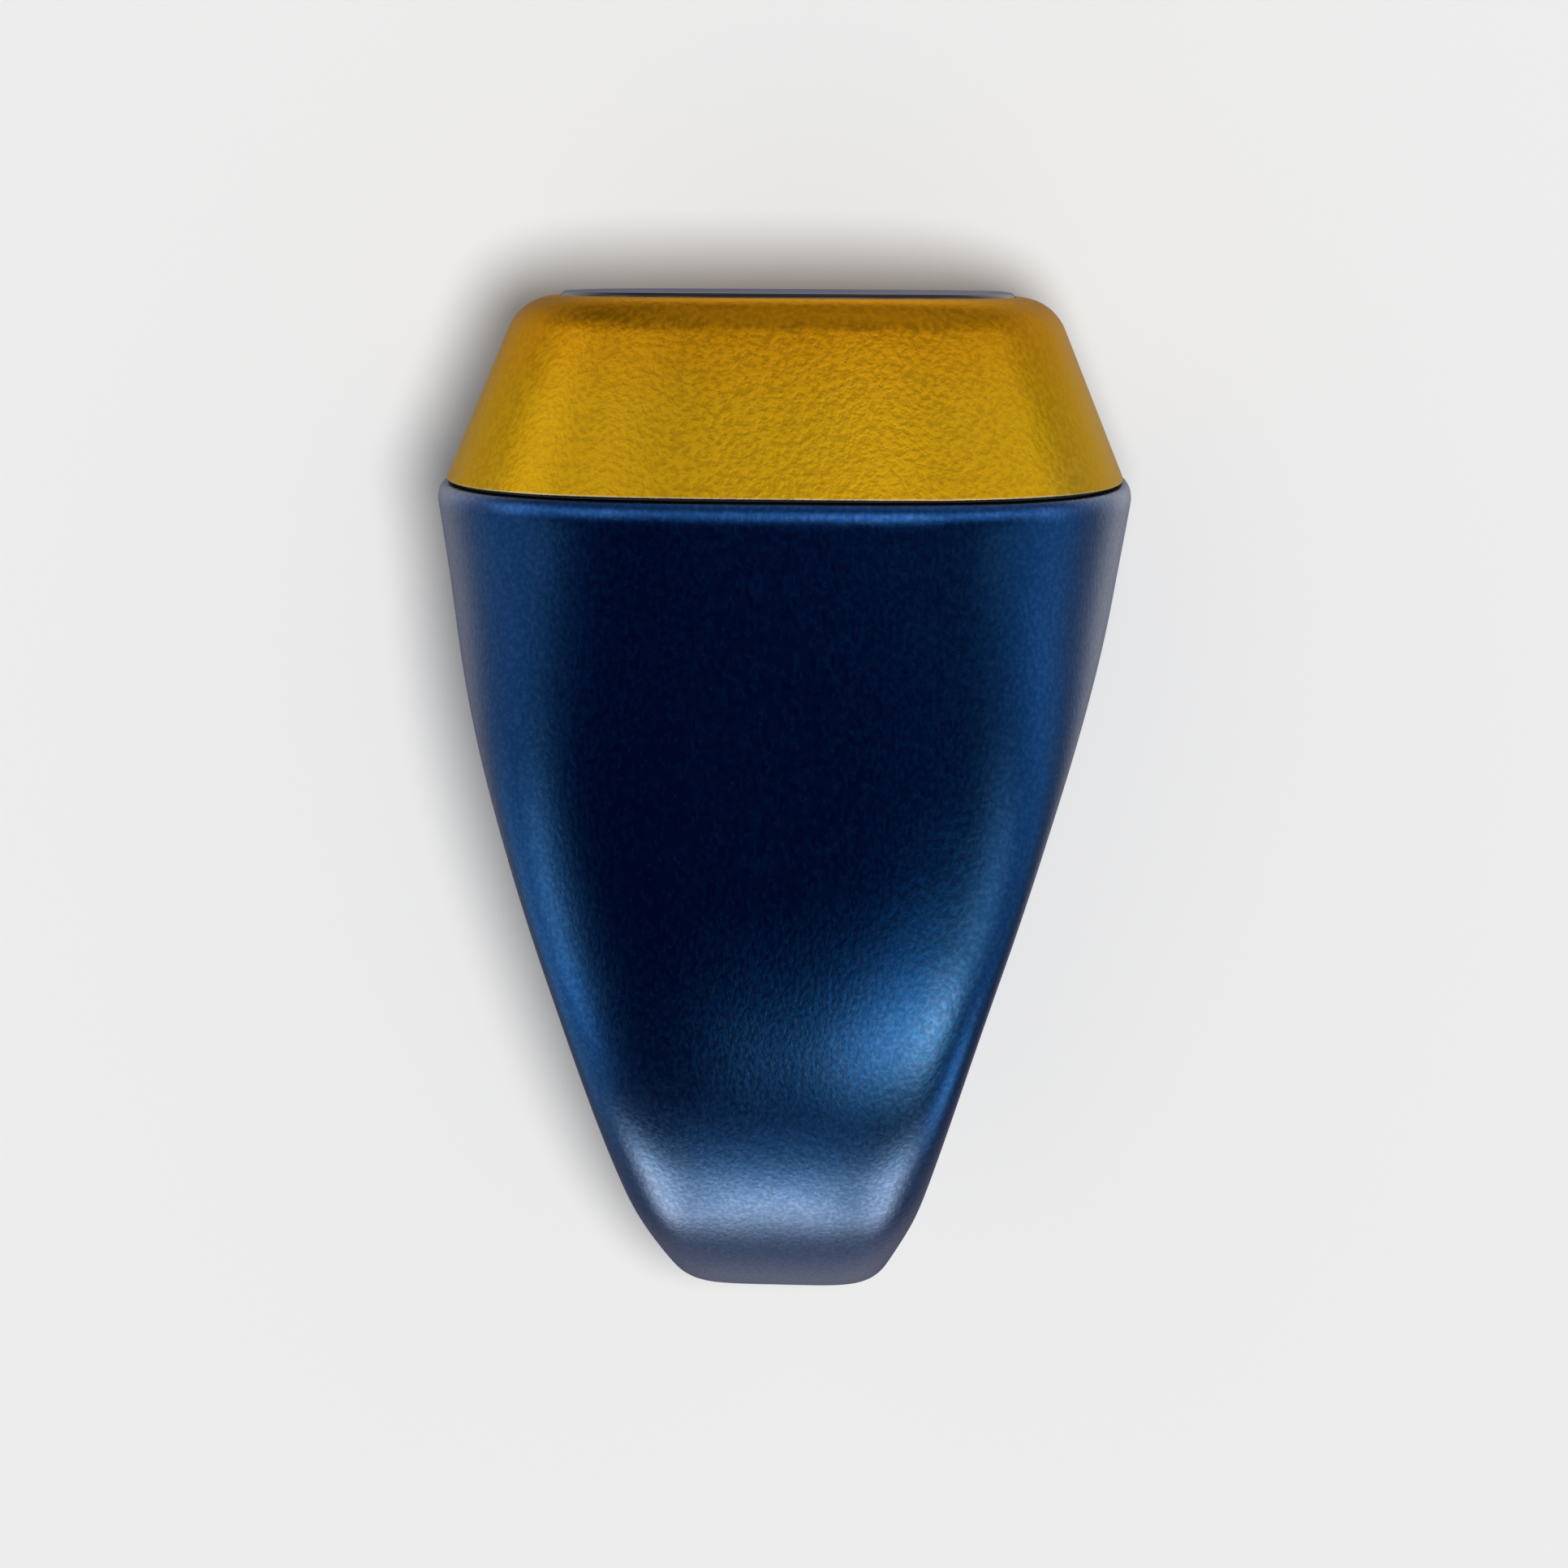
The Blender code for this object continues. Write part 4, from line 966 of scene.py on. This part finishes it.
class RING_OT_button(bpy.types.Operator):
    """Makes the side button with its flange and rounded face"""

    bl_idname = "counter_ring.button"
    bl_label = "Side button"

    def execute(self, context):
        bezel = context.scene.ring_bezel
        power = context.scene.ring_band.seam_power
        lips = 2 * bezel.flange_lip
        flange = pill(bezel.button_length + lips, bezel.button_height + lips)
        stem = pill(bezel.button_length, bezel.button_height)
        flange_y = BUTTON_LOW.y + bezel.flange_thickness
        loops = [upright(flange, BUTTON_LOW.y), upright(flange, flange_y), upright(stem, flange_y)]
        steps = ARC_STEPS // 2
        for k in range(steps + 1):
            turn = math.pi / 2 * k / steps
            inset = bezel.button_round * (1 - math.cos(turn))
            plan = pill(bezel.button_length, bezel.button_height, inset)
            proud = bezel.button_proud - bezel.button_round * (1 - math.sin(turn))
            loops.append(upright(plan, bezel_face(bezel, power, plan) + proud))
        look = material("anodised_gold", context.scene.ring_colours)
        piece = solid("side_button", *skin(loops), look)
        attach(piece, "button")
        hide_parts("button")
        return {"FINISHED"}


class RING_OT_contacts(bpy.types.Operator):
    """Makes the two charging contacts in the bore and finishes their insulators and flex"""

    bl_idname = "counter_ring.contacts"
    bl_label = "Charging contacts"

    def execute(self, context):
        colours = context.scene.ring_colours
        look = material("gold_plate", colours)
        head_radius = (PIN_HIGH.x - PIN_LOW.x) / 2
        radius = head_radius - PIN_STEP
        head_z = PIN_HIGH.z - PIN_HEAD
        profile = []
        for k in range(ARC_STEPS + 1):
            turn = math.pi / 2 * k / ARC_STEPS
            inset = PIN_ROUND * (1 - math.sin(turn))
            profile.append((radius - inset, PIN_LOW.z + PIN_ROUND * (1 - math.cos(turn))))
        profile += [(radius, head_z), (head_radius, head_z), (head_radius, PIN_HIGH.z)]
        for side, sign in (("left", -1), ("right", 1)):
            centre = (sign * (PIN_LOW.x + PIN_HIGH.x) / 2, 0.0)
            piece = solid(f"contact_{side}", *turned(centre, profile), look)
            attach(piece, "ring")
            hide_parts(f"charge_pin_{side}")
        dress(colours, "pin_insulator_left", "pin_insulator_right", "contact_flex")
        return {"FINISHED"}


class RING_OT_seals(bpy.types.Operator):
    """Finishes the gaskets and films between the outer pieces"""

    bl_idname = "counter_ring.seals"
    bl_label = "Seals"

    def execute(self, context):
        dress(context.scene.ring_colours, "seam_gasket", "glass_adhesive", "button_seal")
        return {"FINISHED"}


class RING_OT_display(bpy.types.Operator):
    """Finishes the display under the glass"""

    bl_idname = "counter_ring.display"
    bl_label = "Display"

    def execute(self, context):
        names = ("panel_adhesive", "oled_panel", "oled_flex", "display_connector", "display_cushion")
        dress(context.scene.ring_colours, *names)
        return {"FINISHED"}


class RING_OT_board(bpy.types.Operator):
    """Finishes the circuit board, what it carries and the switch"""

    bl_idname = "counter_ring.board"
    bl_label = "Circuit board"

    def execute(self, context):
        names = ["main_board", "radio_chip", "power_chip", "crystal", "chip_antenna"]
        names += [name for name in frame["nodes"] if name.startswith("capacitor_")]
        names += ["board_screw_left", "board_screw_right", "switch_housing", "switch_plunger"]
        dress(context.scene.ring_colours, *names)
        return {"FINISHED"}


class RING_OT_power(bpy.types.Operator):
    """Finishes the tray with its battery and vibration motor"""

    bl_idname = "counter_ring.power"
    bl_label = "Battery and motor"

    def execute(self, context):
        names = ["carrier_tray", "battery_cell", "battery_tab_left", "battery_tab_right"]
        names += ["motor_case", "motor_base", "motor_shaft", "motor_rotor"]
        dress(context.scene.ring_colours, *names)
        return {"FINISHED"}


def soft_lamp(finish, towards, direction, tightness, strength):
    """Light that is full in one direction and fades evenly around it."""
    middle = Vector(direction).normalized()
    sides = {0: towards, 1: middle}
    facing = finish.node("ShaderNodeVectorMath", {"operation": "DOT_PRODUCT"}, sides, "Value")
    fade = (facing - 1) * tightness
    return fade.maths("EXPONENT", fade, 0.0) * strength


def soft_world(world, colours):
    """A pale background for the camera, even light for matt pieces and soft lamps for metal and glass."""
    finish = Finish(world)
    towards = finish.node("ShaderNodeTexCoord", output="Generated")
    shares = dict.fromkeys(LAMP_TINTS, 0.0)
    for kind, direction, tightness, strength in LAMPS.values():
        shares[kind] = soft_lamp(finish, towards, direction, tightness, strength) + shares[kind]
    channels = {}
    for k, dim in enumerate(DIM_LIGHT):
        channels[k] = sum((shares[kind] * part[k] for kind, part in LAMP_TINTS.items()), dim)
    lamps = finish.node("ShaderNodeCombineColor", None, channels)
    path = {
        ray: finish.node("ShaderNodeLightPath", output=f"Is {ray} Ray")
        for ray in ("Camera", "Glossy", "Transmission")
    }
    mirrored = path["Glossy"] + path["Transmission"]
    wall = soft_lamp(finish, towards, *WALLS[0]) + soft_lamp(finish, towards, *WALLS[1])
    light = finish.mix(mirrored, [EVEN_LIGHT] * 3, lamps)
    seen = finish.mix(path["Camera"] + mirrored * wall, light, colours.backdrop)
    shader = finish.node("ShaderNodeBackground", None, {"Color": seen, "Strength": 1.0})
    finish.node("ShaderNodeOutputWorld", None, {"Surface": shader})


def backdrop_look(stage, colours):
    """Pale card that only the camera sees, and only from the front, so that it keeps the ring's shadow."""
    card = bpy.data.materials.new("look_backdrop")
    finish = Finish(card)
    camera = finish.node("ShaderNodeLightPath", output="Is Camera Ray")
    behind = finish.node("ShaderNodeNewGeometry", output="Backfacing")
    place = finish.place()
    lamp = [coordinate / MM for coordinate in stage.lamp_place]
    reach = finish.node("ShaderNodeVectorMath", {"operation": "DISTANCE"}, {0: place, 1: lamp}, "Value")
    slant = reach * (MM / (CAD_BOX[1].y + stage.wall_gap - stage.lamp_place[1])) - 1
    tone = finish.mix(slant, colours.backdrop, [CARD_LIFT * channel for channel in colours.backdrop])
    paper = finish.node("ShaderNodeBsdfDiffuse", None, {"Color": tone})
    clear = finish.node("ShaderNodeBsdfTransparent")
    shown = camera * (1 - behind) * (1 - finish.rise(reach, *CARD_FADE))
    seen = finish.node("ShaderNodeMixShader", None, {0: shown, 1: clear, 2: paper})
    finish.node("ShaderNodeOutputMaterial", None, {"Surface": seen})
    return card


def even_lamp(lamp):
    """Light that does not fall off with distance, so that the backdrop stays even."""
    finish = Finish(lamp)
    steady = finish.node("ShaderNodeLightFalloff", None, {"Strength": 1.0}, "Constant")
    glow = finish.node("ShaderNodeEmission", None, {"Strength": steady})
    finish.node("ShaderNodeOutputLight", None, {"Surface": glow})


class RING_OT_stage(bpy.types.Operator):
    """Makes the backdrop, the light and the camera"""

    bl_idname = "counter_ring.stage"
    bl_label = "Stage"

    def execute(self, context):
        scene = context.scene
        stage = scene.ring_stage
        colours = scene.ring_colours
        scene.view_settings.view_transform = "Standard"
        scene.world = bpy.data.worlds.new("soft_light")
        soft_world(scene.world, colours)
        half = stage.wall_side / 2
        y = CAD_BOX[1].y + stage.wall_gap
        corners = [(-half, y, -half), (half, y, -half), (half, y, half), (-half, y, half)]
        mesh = bpy.data.meshes.new("backdrop")
        mesh.from_pydata(corners, [], [(0, 1, 2, 3)])
        mesh.materials.append(backdrop_look(stage, colours))
        backdrop = bpy.data.objects.new("backdrop", mesh)
        scene.collection.objects.link(backdrop)
        lamp = bpy.data.lights.new("lamp", "POINT")
        lamp.energy = stage.lamp_power
        lamp.shadow_soft_size = stage.lamp_radius
        even_lamp(lamp)
        source = bpy.data.objects.new("lamp", lamp)
        source.location = stage.lamp_place
        source.visible_glossy = False
        source.visible_camera = False
        scene.collection.objects.link(source)
        place = Vector(stage.camera_place)
        heading = math.atan2(-place.x, -place.y) - SHIFT_PIXELS / FOCAL_PIXELS
        level = math.cos(stage.camera_tilt)
        ahead = Vector((math.sin(heading) * level, math.cos(heading) * level, -math.sin(stage.camera_tilt)))
        across = Vector((math.cos(heading), -math.sin(heading), 0.0))
        upward = across.cross(ahead)
        right = across * math.cos(stage.camera_roll) + upward * math.sin(stage.camera_roll)
        up = upward * math.cos(stage.camera_roll) - across * math.sin(stage.camera_roll)
        lens = bpy.data.cameras.new("camera")
        lens.sensor_width = SENSOR_WIDTH
        lens.lens = FOCAL_PIXELS / FRAME_WIDTH * SENSOR_WIDTH
        lens.clip_start = MM
        lens.clip_end = FAR_LIMIT
        camera = bpy.data.objects.new("camera", lens)
        turn = Matrix((right, up, -ahead)).transposed()
        camera.matrix_world = Matrix.Translation(place) @ turn.to_4x4()
        scene.collection.objects.link(camera)
        scene.camera = camera
        return {"FINISHED"}


OPERATORS = (
    RING_OT_band,
    RING_OT_bezel,
    RING_OT_glass,
    RING_OT_button,
    RING_OT_contacts,
    RING_OT_seals,
    RING_OT_display,
    RING_OT_board,
    RING_OT_power,
    RING_OT_stage,
)


class RING_PT_pieces(bpy.types.Panel):
    """Lists the ring's pieces"""

    bl_label = "Counter Ring"
    bl_space_type = "VIEW_3D"
    bl_region_type = "UI"
    bl_category = "Counter Ring"

    def draw(self, context):
        for operator in OPERATORS:
            self.layout.operator(operator.bl_idname)


GROUPS = {
    "ring_band": BandSizes,
    "ring_bezel": BezelSizes,
    "ring_colours": RingColours,
    "ring_stage": RingStage,
}


def register():
    for group in GROUPS.values():
        bpy.utils.register_class(group)
    for name, group in GROUPS.items():
        setattr(bpy.types.Scene, name, PointerProperty(type=group))
    for kind in (*OPERATORS, RING_PT_pieces):
        bpy.utils.register_class(kind)


def unregister():
    for kind in (RING_PT_pieces, *reversed(OPERATORS)):
        bpy.utils.unregister_class(kind)
    for name, group in GROUPS.items():
        delattr(bpy.types.Scene, name)
        bpy.utils.unregister_class(group)


def main():
    register()
    for operator in OPERATORS:
        group, name = operator.bl_idname.split(".")
        getattr(getattr(bpy.ops, group), name)()


if __name__ == "__main__":
    main()
